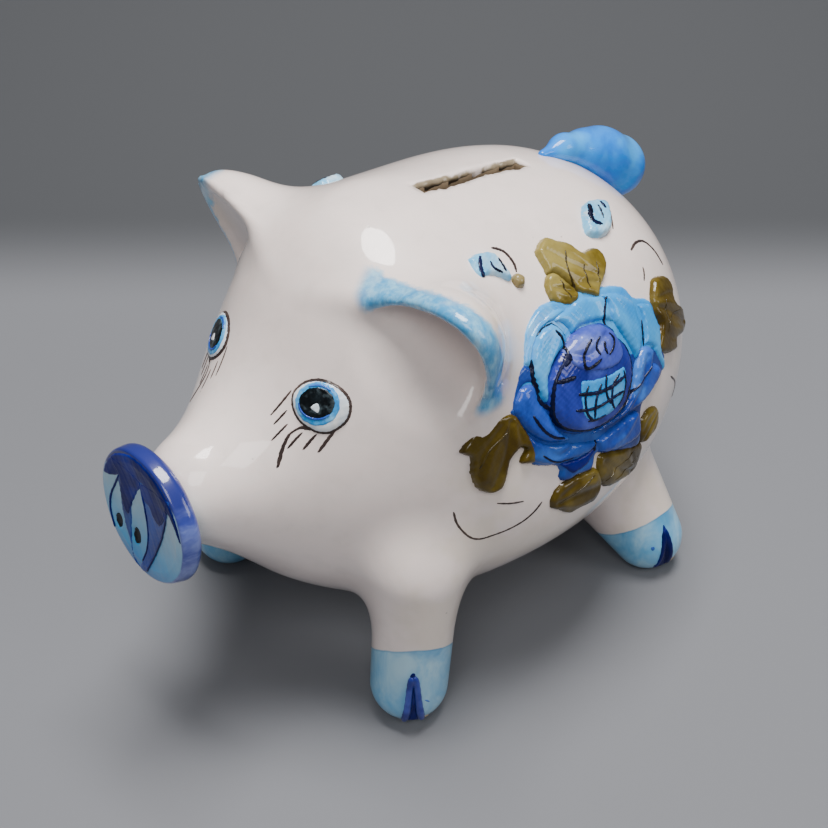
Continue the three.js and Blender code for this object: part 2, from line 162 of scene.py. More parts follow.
def ear_uvw(p):
    q = absx(p) - EO
    return q @ E1, q @ E2, q @ E3


def ear_solid(p):
    u, v, w = ear_uvw(p)
    d = par(u, v, w, 19.5, 25.5, 21.0)
    d = smax(d, w - 1.0, 3.0)
    return smax(d, -v - 8, 6)


def ear_hollow(p):
    u, v, w = ear_uvw(p)
    left = par(u, v, w, 16.6, 21.6, 12.0)
    right = par(u, v, w + 0.3, 15.0, 19.5, 2.6)
    return np.where(p[..., 0] > 0, left, right)


def trunk(p):
    """torso, head, barrel and legs, where the painter's lines lie"""
    f, r = legs(p)
    return smin(smin(core(p), f, 11.5), r, 8.0)


def skin_outer(p):
    """the glazed outside, without slot or hollow"""
    d = core(p)
    e = ear_solid(p)
    d = smin(d, e, 9.0)
    # the ear's hollow runs down into the cheek
    u, v, w = ear_uvw(p)
    h = smax(ear_hollow(p), -v - 3.0, 6.0)
    h = smax(h, -core(p) - 1.2, 5.0)
    d = smax(d, -h, 3.5)
    f, r = legs(p)
    d = smin(d, f, 11.5)
    d = smin(d, r, 8.0)
    d = smax(d, -p[..., 2], 1.6)
    return smax(d, p[..., 2] - 125.3, 1.5)


SLOT_X, SLOT_Y = 3.0, 58.4


def slot_box(p, half_l, half_w):
    x = p[..., 0] - SLOT_X + 0.35 * np.sin(p[..., 1] * 0.23)
    y = p[..., 1] - SLOT_Y
    rag = 0.28 * np.sin(p[..., 1] * 1.9 + 1.0) + 0.2 * np.sin(p[..., 1] * 4.3)
    dx = np.abs(x) - (half_w + rag * 0.8)
    dy = np.abs(y) - half_l
    dz = 98.0 - p[..., 2]
    return np.maximum(np.maximum(dx, dy), dz)


HOLE_C = np.array([0, 60.0, 16.05])
HOLE_N = np.array([0, 0.18564, -0.98262])


def hole(p):
    q = p - HOLE_C
    t = q @ HOLE_N
    rad = np.linalg.norm(q - t[..., None] * HOLE_N, axis=-1)
    return np.maximum(rad - 13.0, np.abs(t) - 14)


def skin(p):
    d = skin_outer(p)
    c = core(p)
    cav = smax(c + 4.5, -(p[..., 2] - 18.5), 4.0)
    d = smax(d, -cav, 1.0)
    d = smax(d, -slot_box(p, 18.2, 1.9), 0.9)
    d = smax(d, -hole(p), 0.8)
    return d


# ---------------------------------------------------------------------------
# Mesh helpers
# ---------------------------------------------------------------------------
def row(P):
    Q = np.array(P, float)
    Q[..., 1] += YS
    return Q * 0.001


def mesh_obj(name, P, F, mats, smooth=True, fmat=None, raw=False):
    me = bpy.data.meshes.new(name)
    V = row(P) if not raw else np.array(P, float)
    me.from_pydata([tuple(v) for v in V.tolist()], [], [tuple(f) for f in F])
    me.update()
    if smooth:
        me.polygons.foreach_set("use_smooth", [True] * len(me.polygons))
    for m in mats if isinstance(mats, (list, tuple)) else [mats]:
        me.materials.append(m)
    if fmat is not None:
        me.polygons.foreach_set("material_index", [int(i) for i in fmat])
    me.update()
    o = bpy.data.objects.new(name, me)
    bpy.context.scene.collection.objects.link(o)
    return o


def nets(f, lo, hi, h, steps=3):
    """closed quad mesh of the level set f = 0 on a grid of pitch h, its corners moved onto the surface"""
    n = [int(math.ceil((hi[i] - lo[i]) / h)) + 1 for i in range(3)]
    ax = [lo[i] + h * np.arange(n[i]) for i in range(3)]
    D = np.empty(n)
    for i in range(n[0]):
        X = np.empty((n[1], n[2], 3))
        X[..., 0] = ax[0][i]
        X[..., 1] = ax[1][:, None]
        X[..., 2] = ax[2][None, :]
        D[i] = f(X)
    S = D < 0
    cs = np.zeros([k - 1 for k in n], int)
    for a in (0, 1):
        for b in (0, 1):
            for c in (0, 1):
                cs += S[a : n[0] - 1 + a, b : n[1] - 1 + b, c : n[2] - 1 + c]
    act = (cs > 0) & (cs < 8)
    idx = -np.ones(act.shape, int)
    ids = np.argwhere(act)
    idx[act] = np.arange(len(ids))
    acc = np.zeros((len(ids), 3))
    cnt = np.zeros(len(ids))
    for axis in range(3):
        e = np.zeros(3, int)
        e[axis] = 1
        o1, o2 = [k for k in range(3) if k != axis]
        for a in (0, 1):
            for b in (0, 1):
                base = ids.copy()
                base[:, o1] += a
                base[:, o2] += b
                nx = base + e
                d0 = D[base[:, 0], base[:, 1], base[:, 2]]
                d1 = D[nx[:, 0], nx[:, 1], nx[:, 2]]
                m = (d0 < 0) != (d1 < 0)
                t = np.where(m, d0 / np.where(m, d0 - d1, 1), 0)
                P = base.astype(float)
                P[:, axis] += t
                acc[m] += P[m]
                cnt[m] += 1
    V = acc / cnt[:, None] * h + np.array(lo)
    F = []
    for axis in range(3):
        o1, o2 = (axis + 1) % 3, (axis + 2) % 3
        sl0 = [slice(None)] * 3
        sl1 = [slice(None)] * 3
        sl0[axis] = slice(0, n[axis] - 1)
        sl1[axis] = slice(1, n[axis])
        A, B = S[tuple(sl0)], S[tuple(sl1)]
        ch = np.argwhere(A != B)
        ok = (ch[:, o1] > 0) & (ch[:, o2] > 0) & (ch[:, o1] < n[o1] - 1) & (ch[:, o2] < n[o2] - 1)
        ch = ch[ok]
        ins = S[ch[:, 0], ch[:, 1], ch[:, 2]]
        q = []
        for a, b in ((1, 1), (0, 1), (0, 0), (1, 0)):
            c = ch.copy()
            c[:, o1] -= a
            c[:, o2] -= b
            q.append(idx[c[:, 0], c[:, 1], c[:, 2]])
        q = np.stack(q, 1)
        q = np.where(ins[:, None], q, q[:, ::-1])
        # the order above turns with the axis the same way each time
        F.append(q[:, ::-1] if False else q)
    F = np.concatenate(F)
    e = 0.05
    for _ in range(steps):
        G = np.stack([f(V + np.eye(3)[k] * e) - f(V - np.eye(3)[k] * e) for k in range(3)], 1) / (2 * e)
        g2 = np.maximum((G**2).sum(1), 0.25)
        st = -(f(V) / g2)[:, None] * G
        ln = np.linalg.norm(st, axis=1, keepdims=True)
        st *= np.minimum(1, 0.45 * h / np.maximum(ln, 1e-9))
        V = V + st
    return V, F


# ---------------------------------------------------------------------------
# Finishes
# ---------------------------------------------------------------------------
def srgb(h):
    c = [int(h[i : i + 2], 16) / 255 for i in (0, 2, 4)]
    return [x / 12.92 if x <= 0.04045 else ((x + 0.055) / 1.055) ** 2.4 for x in c]


class Mat:
    """a node tree with short names"""

    def __init__(self, name):
        self.m = bpy.data.materials.new(name)
        self.m.use_nodes = True
        self.t = self.m.node_tree
        self.b = self.t.nodes["Principled BSDF"]
        self.pos = None

    def new(self, kind, **kw):
        n = self.t.nodes.new(kind)
        for k, v in kw.items():
            setattr(n, k, v)
        return n

    def link(self, a, b):
        self.t.links.new(a, b)

    def put(self, sock, v):
        if isinstance(v, bpy.types.NodeSocket):
            self.link(v, sock)
        else:
            sock.default_value = v

    def coord(self):
        if self.pos is None:
            self.pos = self.new("ShaderNodeTexCoord").outputs["Object"]
        return self.pos

    def mm(self):
        """position in millimetres as x, y, z sockets"""
        s = self.new("ShaderNodeSeparateXYZ")
        v = self.new("ShaderNodeVectorMath", operation="SCALE")
        self.link(self.coord(), v.inputs[0])
        v.inputs["Scale"].default_value = 1000.0
        self.link(v.outputs[0], s.inputs[0])
        return s.outputs[0], s.outputs[1], s.outputs[2]

    def math(self, op, a, b=0.0, c=0.0, clamp=False):
        n = self.new("ShaderNodeMath", operation=op, use_clamp=clamp)
        self.put(n.inputs[0], a)
        if len(n.inputs) > 1:
            self.put(n.inputs[1], b)
        if len(n.inputs) > 2:
            self.put(n.inputs[2], c)
        return n.outputs[0]

    def noise(self, scale, detail=3.0, rough=0.55, dist=0.0, vec=None, lac=2.0):
        n = self.new("ShaderNodeTexNoise")
        n.inputs["Scale"].default_value = scale
        n.inputs["Detail"].default_value = detail
        n.inputs["Roughness"].default_value = rough
        n.inputs["Distortion"].default_value = dist
        n.inputs["Lacunarity"].default_value = lac
        self.link(vec if vec is not None else self.coord(), n.inputs["Vector"])
        return n.outputs["Fac"]

    def stretched(self, sx, sy, sz, rot=(0, 0, 0)):
        n = self.new("ShaderNodeMapping")
        n.inputs["Scale"].default_value = (sx, sy, sz)
        n.inputs["Rotation"].default_value = rot
        self.link(self.coord(), n.inputs["Vector"])
        return n.outputs[0]

    def step(self, v, a, b, lo=0.0, hi=1.0):
        n = self.new("ShaderNodeMapRange", interpolation_type="SMOOTHSTEP")
        self.put(n.inputs["Value"], v)
        n.inputs["From Min"].default_value = a
        n.inputs["From Max"].default_value = b
        n.inputs["To Min"].default_value = lo
        n.inputs["To Max"].default_value = hi
        return n.outputs["Result"]

    def mix(self, f, a, b, mode="MIX"):
        n = self.new("ShaderNodeMix", data_type="RGBA", blend_type=mode)
        self.put(n.inputs[0], f)
        self.put(n.inputs[6], tuple(a) + (1,) if isinstance(a, (list, tuple)) else a)
        self.put(n.inputs[7], tuple(b) + (1,) if isinstance(b, (list, tuple)) else b)
        return n.outputs[2]

    def color(self, c):
        self.put(self.b.inputs["Base Color"], tuple(c) + (1,) if isinstance(c, (list, tuple)) else c)

    def bump(self, h, strength, dist=0.001):
        n = self.new("ShaderNodeBump")
        n.inputs["Strength"].default_value = strength
        n.inputs["Distance"].default_value = dist
        self.link(h, n.inputs["Height"])
        self.link(n.outputs[0], self.b.inputs["Normal"])
        self.link(n.outputs[0], self.b.inputs["Coat Normal"])
        return n

    def glaze(self, rough=0.34, coat=0.85, coat_rough=0.05, sss=0.0):
        i = self.b.inputs
        i["Roughness"].default_value = rough
        i["Coat Weight"].default_value = coat
        i["Coat Roughness"].default_value = coat_rough
        i["Coat IOR"].default_value = 1.5
        i["IOR"].default_value = 1.5
        i["Specular IOR Level"].default_value = 0.3
        if sss:
            i["Subsurface Weight"].default_value = sss
            i["Subsurface Radius"].default_value = (1.0, 0.7, 0.6)
            i["Subsurface Scale"].default_value = 0.0015


def m_white():
    k = Mat("white_glaze")
    x, y, z = k.mm()
    ax = k.math("ABSOLUTE", x)
    big = k.noise(22, 4, 0.6)
    fine = k.noise(160, 3, 0.6)
    col = k.mix(k.step(big, 0.3, 0.7), srgb("eee0da"), srgb("f6e8e2"))
    col = k.mix(k.step(fine, 0.45, 0.75, 0, 0.25), col, srgb("dccfc7"))
    # pinholes and specks in the glaze
    sp = k.new("ShaderNodeTexVoronoi")
    sp.inputs["Scale"].default_value = 150
    k.link(k.coord(), sp.inputs["Vector"])
    spots = k.math("MULTIPLY", k.step(sp.outputs["Distance"], 0.035, 0.06, 1, 0), k.step(k.noise(60, 2), 0.58, 0.62))
    col = k.mix(k.math("MULTIPLY", spots, 0.55), col, srgb("8b7a70"))
    # cream where the clear glaze pools round the flowers
    halo = k.math("MULTIPLY", k.step(ax, 38, 47), k.step(k.noise(70, 3), 0.42, 0.62, 0, 0.35))
    col = k.mix(halo, col, srgb("d9cdb4"))
    # ear rims, a band of thin blue with brushed inner edge
    def dot(vec, o):
        c = k.new("ShaderNodeCombineXYZ")
        k.link(ax, c.inputs[0])
        k.link(k.math("SUBTRACT", y, YS), c.inputs[1])
        k.link(z, c.inputs[2])
        s = k.new("ShaderNodeVectorMath", operation="SUBTRACT")
        k.link(c.outputs[0], s.inputs[0])
        s.inputs[1].default_value = tuple(o)
        d = k.new("ShaderNodeVectorMath", operation="DOT_PRODUCT")
        k.link(s.outputs[0], d.inputs[0])
        d.inputs[1].default_value = tuple(vec)
        return d.outputs["Value"]
    u, v, w = dot(E1, EO), dot(E2, EO), dot(E3, EO)
    uu = k.math("DIVIDE", u, 19.5)
    F = k.math("ADD", k.math("MULTIPLY", uu, uu), k.math("DIVIDE", v, 25.5))
    brush = k.noise(1.0, 4, 0.7, 0.0, k.stretched(330, 330, 150, (0.5, 0.7, 0)))
    edge = k.math("ADD", F, k.math("MULTIPLY", k.math("SUBTRACT", brush, 0.5), 0.42))
    wr = k.math("ADD", w, k.math("MULTIPLY", k.math("SUBTRACT", brush, 0.5), 5.0))
    band = k.math("MULTIPLY", k.step(edge, 0.74, 0.86), k.step(wr, -6.2, -4.2))
    band = k.math("MULTIPLY", band, k.math("MULTIPLY", k.step(v, 0.5, 3.0), k.step(z, 90, 94)))
    band = k.math("MULTIPLY", band, k.math("MAXIMUM", k.step(x, 0.0, 1.0), k.step(ax, 40, 46)))
    blue = k.mix(k.step(brush, 0.35, 0.7), srgb("3b98cf"), srgb("8ccbea"))
    blue = k.mix(k.step(k.noise(240, 3), 0.55, 0.75, 0, 0.5), blue, srgb("2f7fb4"))
    col = k.mix(k.math("MULTIPLY", band, k.step(k.noise(120, 3), 0.2, 0.5, 0.7, 1.0)), col, blue)
    # hoof bands
    def plane(a, b, c, fx, fy):
        t = k.math("MULTIPLY", k.math("SUBTRACT", ax, fx), b)
        s = k.math("MULTIPLY", k.math("SUBTRACT", y, fy + YS), c)
        return k.math("ADD", k.math("ADD", t, s), a)
    hn = k.math("MULTIPLY", k.math("SUBTRACT", k.noise(140, 3), 0.5), 1.6)
    pf = k.math("SUBTRACT", plane(23.2, 0.674, -0.505, 39.28, 2.54), k.math("ADD", z, hn))
    pr = k.math("SUBTRACT", plane(17.5, 0.69, 0.0, 47.96, 91.65), k.math("ADD", z, hn))
    rear = k.step(y, 3.0, 4.0)
    d = k.mix(rear, [0, 0, 0], [0, 0, 0])
    hm = k.math("ADD", k.math("MULTIPLY", k.step(pf, -0.25, 0.25), k.math("SUBTRACT", 1.0, rear)), k.math("MULTIPLY", k.step(pr, -0.25, 0.25), rear))
    outer = k.step(ax, 24, 30)
    hm = k.math("MULTIPLY", hm, outer)
    dd = k.math("ADD", k.math("MULTIPLY", pf, k.math("SUBTRACT", 1.0, rear)), k.math("MULTIPLY", pr, rear))
    wash = k.noise(1.0, 4, 0.65, 0.6, k.stretched(90, 90, 45))
    hc = k.mix(k.step(wash, 0.3, 0.7), srgb("5fb0de"), srgb("b3dcee"))
    hc = k.mix(k.step(k.noise(75, 3), 0.5, 0.72, 0, 0.75), hc, srgb("3f93c6"))
    hc = k.mix(k.step(dd, 0.9, 0.1, 0, 0.45), hc, srgb("2f7fae"))
    col = k.mix(hm, col, hc)
    # raw clay at the rough slot edge, painted darker with depth inside the slot as painted shade
    sx = k.math("ABSOLUTE", k.math("SUBTRACT", x, SLOT_X))
    sy = k.math("ABSOLUTE", k.math("SUBTRACT", y, SLOT_Y + YS))
    rag = k.math("MULTIPLY", k.math("SUBTRACT", k.noise(260, 3), 0.5), 1.3)
    sm = k.math("MAXIMUM", k.math("SUBTRACT", k.math("ADD", sx, rag), 2.3), k.math("SUBTRACT", k.math("ADD", sy, rag), 18.5))
    slot = k.math("MULTIPLY", k.step(sm, 0.25, -0.25), k.step(z, 90, 95))
    slot_clay_and_shade = k.mix(k.noise(300, 3), srgb("7d6e57"), srgb("a89a80"))
    top = k.math("SUBTRACT", 124.7 + 0.153 * (39.3 + YS), k.math("MULTIPLY", y, 0.153))
    # painted shade: the clay turns dark brown the deeper it lies below the slot's top edge
    slot_clay_and_shade = k.mix(k.step(k.math("SUBTRACT", top, z), 0.5, 1.7), slot_clay_and_shade, srgb("2a231b"))
    col = k.mix(slot, col, slot_clay_and_shade)
    k.color(col)
    h = k.math("ADD", k.math("MULTIPLY", k.noise(45, 3, 0.5), 1.0), k.math("MULTIPLY", spots, -0.25))
    k.bump(h, 0.25, 0.0006)
    k.glaze(0.36, 0.9, 0.045, 0.06)
    return k.m


def m_clay(name="raw_clay", a="a58f74", b="c7b193"):
    k = Mat(name)
    c = k.mix(k.noise(180, 4, 0.65), srgb(a), srgb(b))
    k.color(c)
    k.b.inputs["Roughness"].default_value = 0.85
    k.b.inputs["Specular IOR Level"].default_value = 0.2
    k.bump(k.noise(700, 4, 0.7), 0.4, 0.0003)
    return k.m


def m_paint(name, cols, amount=(0.3, 0.7), streak=(120, 120, 40), rot=(0, 0, 0), thin=None, rough=0.3, coat=0.6, big=40, seed=0.0):
    """a hand-brushed glaze colour: cols are dark, middle and light; thin is where the ground shows through"""
    k = Mat(name)
    v = k.stretched(*streak, rot)
    if seed:
        a = k.new("ShaderNodeVectorMath", operation="ADD")
        k.link(v, a.inputs[0])
        a.inputs[1].default_value = (seed, seed * 0.7, -seed)
        v = a.outputs[0]
    s = k.noise(1.0, 5, 0.62, 0.5, v)
    g = k.noise(big, 3, 0.55)
    c = k.mix(k.step(s, amount[0], amount[1]), srgb(cols[0]), srgb(cols[1]))
    c = k.mix(k.step(g, 0.48, 0.7, 0, 0.8), c, srgb(cols[2]))
    if thin:
        n = k.noise(170, 4, 0.7)
        c = k.mix(k.step(n, 0.60, 0.68, 0, thin[1]), c, srgb(thin[0]))
    k.color(c)
    h = k.math("ADD", k.math("MULTIPLY", s, 0.7), k.math("MULTIPLY", k.noise(400, 3), 0.25))
    k.bump(h, 0.3, 0.0004)
    k.glaze(rough, coat, 0.05)
    k.b.inputs["Specular IOR Level"].default_value = 0.12
    return k.m


WHITE = m_white()
CLAY = m_clay()
# the hollow's inside is the raw clay painted darker: painted shade in the cavity
INSIDE_SHADED = m_clay("raw_clay_inside_painted_shade", "8d7962", "ab977c")
SKY = m_paint("sky_blue", ("1688d4", "45a8e8", "86c8ef"), big=70)
SKY_PALE = m_paint("sky_pale", ("4fb0e4", "96d0ee", "d6e8ef"), big=90, thin=("e6ddd2", 0.5))
TAIL = m_paint("tail_blue", ("0566d0", "0f90f6", "3aaefc"), streak=(60, 45, 60), big=60)
COBALT = m_paint("cobalt", ("15338a", "2a52b4", "4580d4"), big=90)
COBALT_D = m_paint("cobalt_dark", ("102770", "1f4298", "3468bc"), big=80)
VIOLET = m_paint("violet", ("141f74", "2a3a9c", "4a5cbc"), big=90)
NAVY = m_paint("navy", ("070d52", "0d1878", "1a2c98"), big=110, coat=0.12, rough=0.28)
VIOLET_RIM = m_paint("violet_rim", ("3440a0", "5162be", "7486d0"), big=110)
OLIVE = m_paint("olive", ("3a2c08", "584811", "7a6a2e"), big=75)
OLIVE_T = m_paint("olive_top", ("56480f", "7a6a2c", "988a4c"), big=75)
OLIVE_L = m_paint("olive_light", ("67572a", "87774a", "a5976b"), big=75)
BLACK = m_paint("line_black", ("05071a", "0c1030", "161c46"), big=120, rough=0.35, coat=0.3)
BROWN = m_paint("line_brown", ("2c2322", "423734", "5b4d47"), big=120, rough=0.4, coat=0.3)
EYEWHITE = m_paint("eye_white", ("cfdcea", "e2eaf0", "f2f2ee"), big=200)
IRIS = m_paint("eye_iris", ("1f83cc", "4aa9e4", "86c8ee"), streak=(400, 400, 400), big=260)
PUPIL = m_paint("eye_pupil", ("04080b", "141d22", "4a585e"), streak=(620, 620, 60), big=420, amount=(0.42, 0.75))
NOSTRIL = m_paint("nostril_grey", ("15171b", "23262c", "343941"), big=200, coat=0.2)


# ---------------------------------------------------------------------------
# Charts: flat coordinates on the skin
# ---------------------------------------------------------------------------
def hit(o, d, f, t0, t1, n=26):
    """distance along rays o + t d where f changes sign, from outside (t1) inwards"""
    lo = np.full(len(o), t0, float)
    hi = np.full(len(o), t1, float)
    for _ in range(n):
        m = 0.5 * (lo + hi)
        s = f(o + m[:, None] * d) < 0
        lo = np.where(s, m, lo)
        hi = np.where(s, hi, m)
    return 0.5 * (lo + hi)


def grad(P, f):
    e = 0.2
    G = np.stack([f(P + np.eye(3)[k] * e) - f(P - np.eye(3)[k] * e) for k in range(3)], 1)
    return G / np.linalg.norm(G, axis=1, keepdims=True)


class Flank:
    """a = y along the pig, b = 0.96 mm per degree of turn about the line x 0, z 66"""

    def __init__(self, f=None):
        self.f = f or core

    def at(self, A, side=1):
        A = np.asarray(A, float)
        al = np.radians(A[:, 1] / 0.96)
        o = np.stack([0 * al, A[:, 0], 0 * al + 66.0], 1)
        d = np.stack([np.cos(al), 0 * al, np.sin(al)], 1)
        t = hit(o, d, self.f, 5.0, 75.0)
        P = o + t[:, None] * d
        N = grad(P, self.f)
        return P, N


class Plane:
    """coordinates in a plane, dropped along its normal on the surface f"""

    def __init__(self, c, n, u, v, f, reach=14.0):
        self.c, self.n, self.u, self.v = [np.array(x, float) for x in (c, n, u, v)]
        self.f, self.reach = f, reach

    def at(self, A):
        A = np.asarray(A, float)
        o = self.c + A[:, :1] * self.u + A[:, 1:2] * self.v
        d = np.tile(self.n, (len(A), 1))
        t = hit(o, d, self.f, -self.reach, self.reach)
        P = o + t[:, None] * d
        return P, grad(P, self.f)


def closed_spline(Q, n=6):
    Q = np.array(Q, float)
    m = len(Q)
    out = []
    for i in range(m):
        p0, p1, p2, p3 = Q[i - 1], Q[i], Q[(i + 1) % m], Q[(i + 2) % m]
        for j in range(n):
            t = j / n
            out.append(0.5 * (2 * p1 + (p2 - p0) * t + (2 * p0 - 5 * p1 + 4 * p2 - p3) * t * t + (3 * p1 - p0 - 3 * p2 + p3) * t**3))
    return np.array(out)


def open_spline(Q, n=8):
    Q = np.array(Q, float)
    Q = np.vstack([2 * Q[0] - Q[1], Q, 2 * Q[-1] - Q[-2]])
    out = []
    for i in range(1, len(Q) - 2):
        p0, p1, p2, p3 = Q[i - 1], Q[i], Q[i + 1], Q[i + 2]
        for j in range(n):
            t = j / n
            out.append(0.5 * (2 * p1 + (p2 - p0) * t + (2 * p0 - 5 * p1 + 4 * p2 - p3) * t * t + (3 * p1 - p0 - 3 * p2 + p3) * t**3))
    out.append(Q[-2])
    return np.array(out)


def poly_d(A, Q):
    """signed distance to a closed outline, below zero inside"""
    A = np.asarray(A, float)
    d = np.full(len(A), 1e9)
    s = np.zeros(len(A), bool)
    m = len(Q)
    for i in range(m):
        a, b = Q[i], Q[(i + 1) % m]
        e = b - a
        w = A - a
        t = np.clip((w @ e) / max(e @ e, 1e-12), 0, 1)
        d = np.minimum(d, np.linalg.norm(w - t[:, None] * e, axis=1))
        c = (a[1] <= A[:, 1]) != (b[1] <= A[:, 1])
        with np.errstate(divide="ignore", invalid="ignore"):
            xi = a[0] + (A[:, 1] - a[1]) / (b[1] - a[1]) * e[0]
        s ^= c & (A[:, 0] < xi)
    return np.where(s, -d, d)


def line_d(A, Q):
    """distance to an open line, and how far along it, 0 to 1"""
    d = np.full(len(A), 1e9)
    for i in range(len(Q) - 1):
        a, b = Q[i], Q[i + 1]
        e = b - a
        w = A - a
        t = np.clip((w @ e) / max(e @ e, 1e-12), 0, 1)
        d = np.minimum(d, np.linalg.norm(w - t[:, None] * e, axis=1))
    return d


def soft(A, s=0.0):
    x, y = A[:, 0], A[:, 1]
    return (np.sin(1.9 * x + 1.1 * y + s) + np.sin(2.7 * y - 1.3 * x + 2 * s) + 0.6 * np.sin(4.7 * x + 2.9 * y + 3 * s)) / 2.6


class Relief:
    """a raised shape on a chart: pillow-edged, with veins pressed in or ridges raised"""

    def __init__(self, outline, h, edge, base=None, dome=0.0, veins=(), ripple=0.06, seed=0.0):
        self.Q = closed_spline(outline)
        self.h, self.edge, self.base, self.dome, self.veins = h, edge, base, dome, veins
        self.ripple, self.seed = ripple, seed

    def height(self, A):
        d = poly_d(A, self.Q) + 0.12 * soft(A * 1.3, self.seed)
        t = np.clip(-d / self.edge, 0, 1)
        H = self.h * np.sqrt(np.maximum(1 - (1 - t) ** 2, 0))
        if self.dome:
            t2 = np.clip(-d / self.dome, 0, 1)
            H = H * (0.62 + 0.38 * np.sqrt(np.maximum(1 - (1 - t2) ** 2, 0)))
        for line, w, dep in self.veins:
            q = line_d(A, line)
            H = H + np.where(d < 0, dep * np.exp(-((q / w) ** 2)), 0) * np.clip(-d / 1.0, 0, 1)
        H = H + self.ripple * soft(A * 2.2, self.seed + 1.0) * np.clip(-d / 1.0, 0, 1)
        return np.where(d <= 0, np.maximum(H, 0.02), -np.minimum(d * 0.9, 0.5)), d


FIELD = []


def field(A):
    """how far the relief stands above the skin at these chart points"""
    H = np.zeros(len(A))
    for r in FIELD:
        lo, hi = r.Q.min(0) - 0.5, r.Q.max(0) + 0.5
        m = ((A >= lo) & (A <= hi)).all(1)
        if m.any():
            h, _ = r.height(A[m])
            if callable(r.base):
                h = np.where(h > 0, h + r.base(A[m]), h)
            H[m] = np.maximum(H[m], h)
    return H


ALL = []
LEFT_ONLY = ("leaf_top_a", "leaf_top_b", "small_bud_2", "bud_2_lines", "leaf_top_lines")


def finish_piece(o, body="pig", nodes=()):
    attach(o, body)
    if nodes:
        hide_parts(*nodes)
    ALL.append(o)
    return o


def two_sided(name, P, F, mats, sides=(1, -1), nodes=None, fmat=None):
    out = []
    if name in LEFT_ONLY:
        sides = (1,)
    for s in sides:
        tag = "_left" if s > 0 else "_right"
        Q = P.copy()
        G = F
        if s < 0:
            Q[:, 0] *= -1
            G = F[:, ::-1] if isinstance(F, np.ndarray) else [f[::-1] for f in F]
        G = G.tolist() if isinstance(G, np.ndarray) else G
        o = mesh_obj("p_" + name + tag, Q, G, mats, fmat=fmat)
        finish_piece(o, nodes=[n + tag for n in nodes] if nodes else ())
        out.append(o)
    return out


def grid_solid(chart, rel, step=0.36, sink=0.7, floor_h=None):
    """closed solid of a relief: top follows its height, bottom lies under the skin"""
    lo, hi = rel.Q.min(0) - 0.5, rel.Q.max(0) + 0.5
    na, nb = int((hi[0] - lo[0]) / step) + 2, int((hi[1] - lo[1]) / step) + 2
    aa, bb = np.meshgrid(np.linspace(lo[0], hi[0], na), np.linspace(lo[1], hi[1], nb), indexing="ij")
    A = np.stack([aa.ravel(), bb.ravel()], 1)
    H, d = rel.height(A)
    keep = (d < 0.55).reshape(na, nb)
    cell = keep[:-1, :-1] & keep[1:, :-1] & keep[1:, 1:] & keep[:-1, 1:]
    used = np.zeros((na, nb), bool)
    for a in (0, 1):
        for b in (0, 1):
            used[a : na - 1 + a, b : nb - 1 + b] |= cell
    idx = -np.ones((na, nb), int)
    sel = used.ravel()
    idx[used] = np.arange(sel.sum())
    A, H = A[sel], H[sel]
    P, N = chart.at(A)
    b0 = rel.base(A) if callable(rel.base) else (rel.base or 0.0)
    top = P + N * (H + b0)[:, None] if not np.isscalar(b0) else P + N * (H + b0)[:, None]
    low = np.minimum(H, 0) - sink
    bot = P + N * (low + (b0 if not np.isscalar(b0) else 0))[:, None]
    n = len(P)
    F = []
    c = np.argwhere(cell)
    i00 = idx[c[:, 0], c[:, 1]]
    i10 = idx[c[:, 0] + 1, c[:, 1]]
    i11 = idx[c[:, 0] + 1, c[:, 1] + 1]
    i01 = idx[c[:, 0], c[:, 1] + 1]
    quad = np.stack([i00, i10, i11, i01], 1)
    # orientation: the top faces outward
    p = top[quad]
    nn = np.cross(p[:, 1] - p[:, 0], p[:, 2] - p[:, 0])
    if (np.einsum("ij,ij->i", nn, N[quad[:, 0]]) > 0).mean() < 0.5:
        quad = quad[:, ::-1]
    F += quad.tolist()
    F += (quad[:, ::-1] + n).tolist()
    edges = {}
    for q in quad.tolist():
        for a, b in zip(q, q[1:] + q[:1]):
            edges[(a, b)] = 1
    for a, b in edges:
        if (b, a) not in edges:
            F.append([b, a, a + n, b + n])
    return np.vstack([top, bot]), F


def ribbon(chart, line, w, base=field, up=0.14, down=0.3, taper=0.5, n=7, step=8, rag=0.12):
    """a brush stroke: a low rounded solid following the skin and what stands on it"""
    Q = open_spline(line, step)
    T = np.gradient(Q, axis=0)
    T /= np.maximum(np.linalg.norm(T, axis=1, keepdims=True), 1e-9)
    S = np.stack([-T[:, 1], T[:, 0]], 1)
    m = len(Q)
    t = np.linspace(0, 1, m)
    L = np.linalg.norm(np.diff(Q, axis=0), axis=1).sum()
    e = min(0.3, 1.6 / max(L, 1e-6))
    ww = w * (1 - taper * (1 - np.clip(np.minimum(t, 1 - t) / e, 0, 1)) ** 1.5)
    ww = ww * (1 + rag * np.sin(np.arange(m) * 1.7 + L) + rag * 0.6 * np.sin(np.arange(m) * 3.1))
    s = np.linspace(-1, 1, n)
    A = Q[:, None, :] + S[:, None, :] * (s[None, :, None] * ww[:, None, None] * 0.5)
    A = A.reshape(-1, 2)
    P, N = chart.at(A)
    B = base(A) if callable(base) else np.full(len(A), float(base))
    prof = np.sqrt(np.maximum(1 - s**2, 0))
    H = np.tile(prof, m) * up
    endf = np.repeat(np.clip(np.minimum(t, 1 - t) / (e * 0.35) + 0.25, 0, 1), n)
    top = P + N * (B + H * endf + 0.02)[:, None]
    bot = P + N * (B - down)[:, None]
    k = m * n
    F = []
    for i in range(m - 1):
        for j in range(n - 1):
            a = i * n + j
            F.append([a, a + n, a + n + 1, a + 1])
    q = np.array(F)
    p = top[q]
    nn = np.cross(p[:, 1] - p[:, 0], p[:, 2] - p[:, 0])
    if (np.einsum("ij,ij->i", nn, N[q[:, 0]]) > 0).mean() < 0.5:
        q = q[:, ::-1]
    F = q.tolist() + (q[:, ::-1] + k).tolist()
    edges = set()
    for f in q.tolist():
        for a, b in zip(f, f[1:] + f[:1]):
            edges.add((a, b))
    for a, b in list(edges):
        if (b, a) not in edges:
            F.append([b, a, a + k, b + k])
    return np.vstack([top, bot]), F


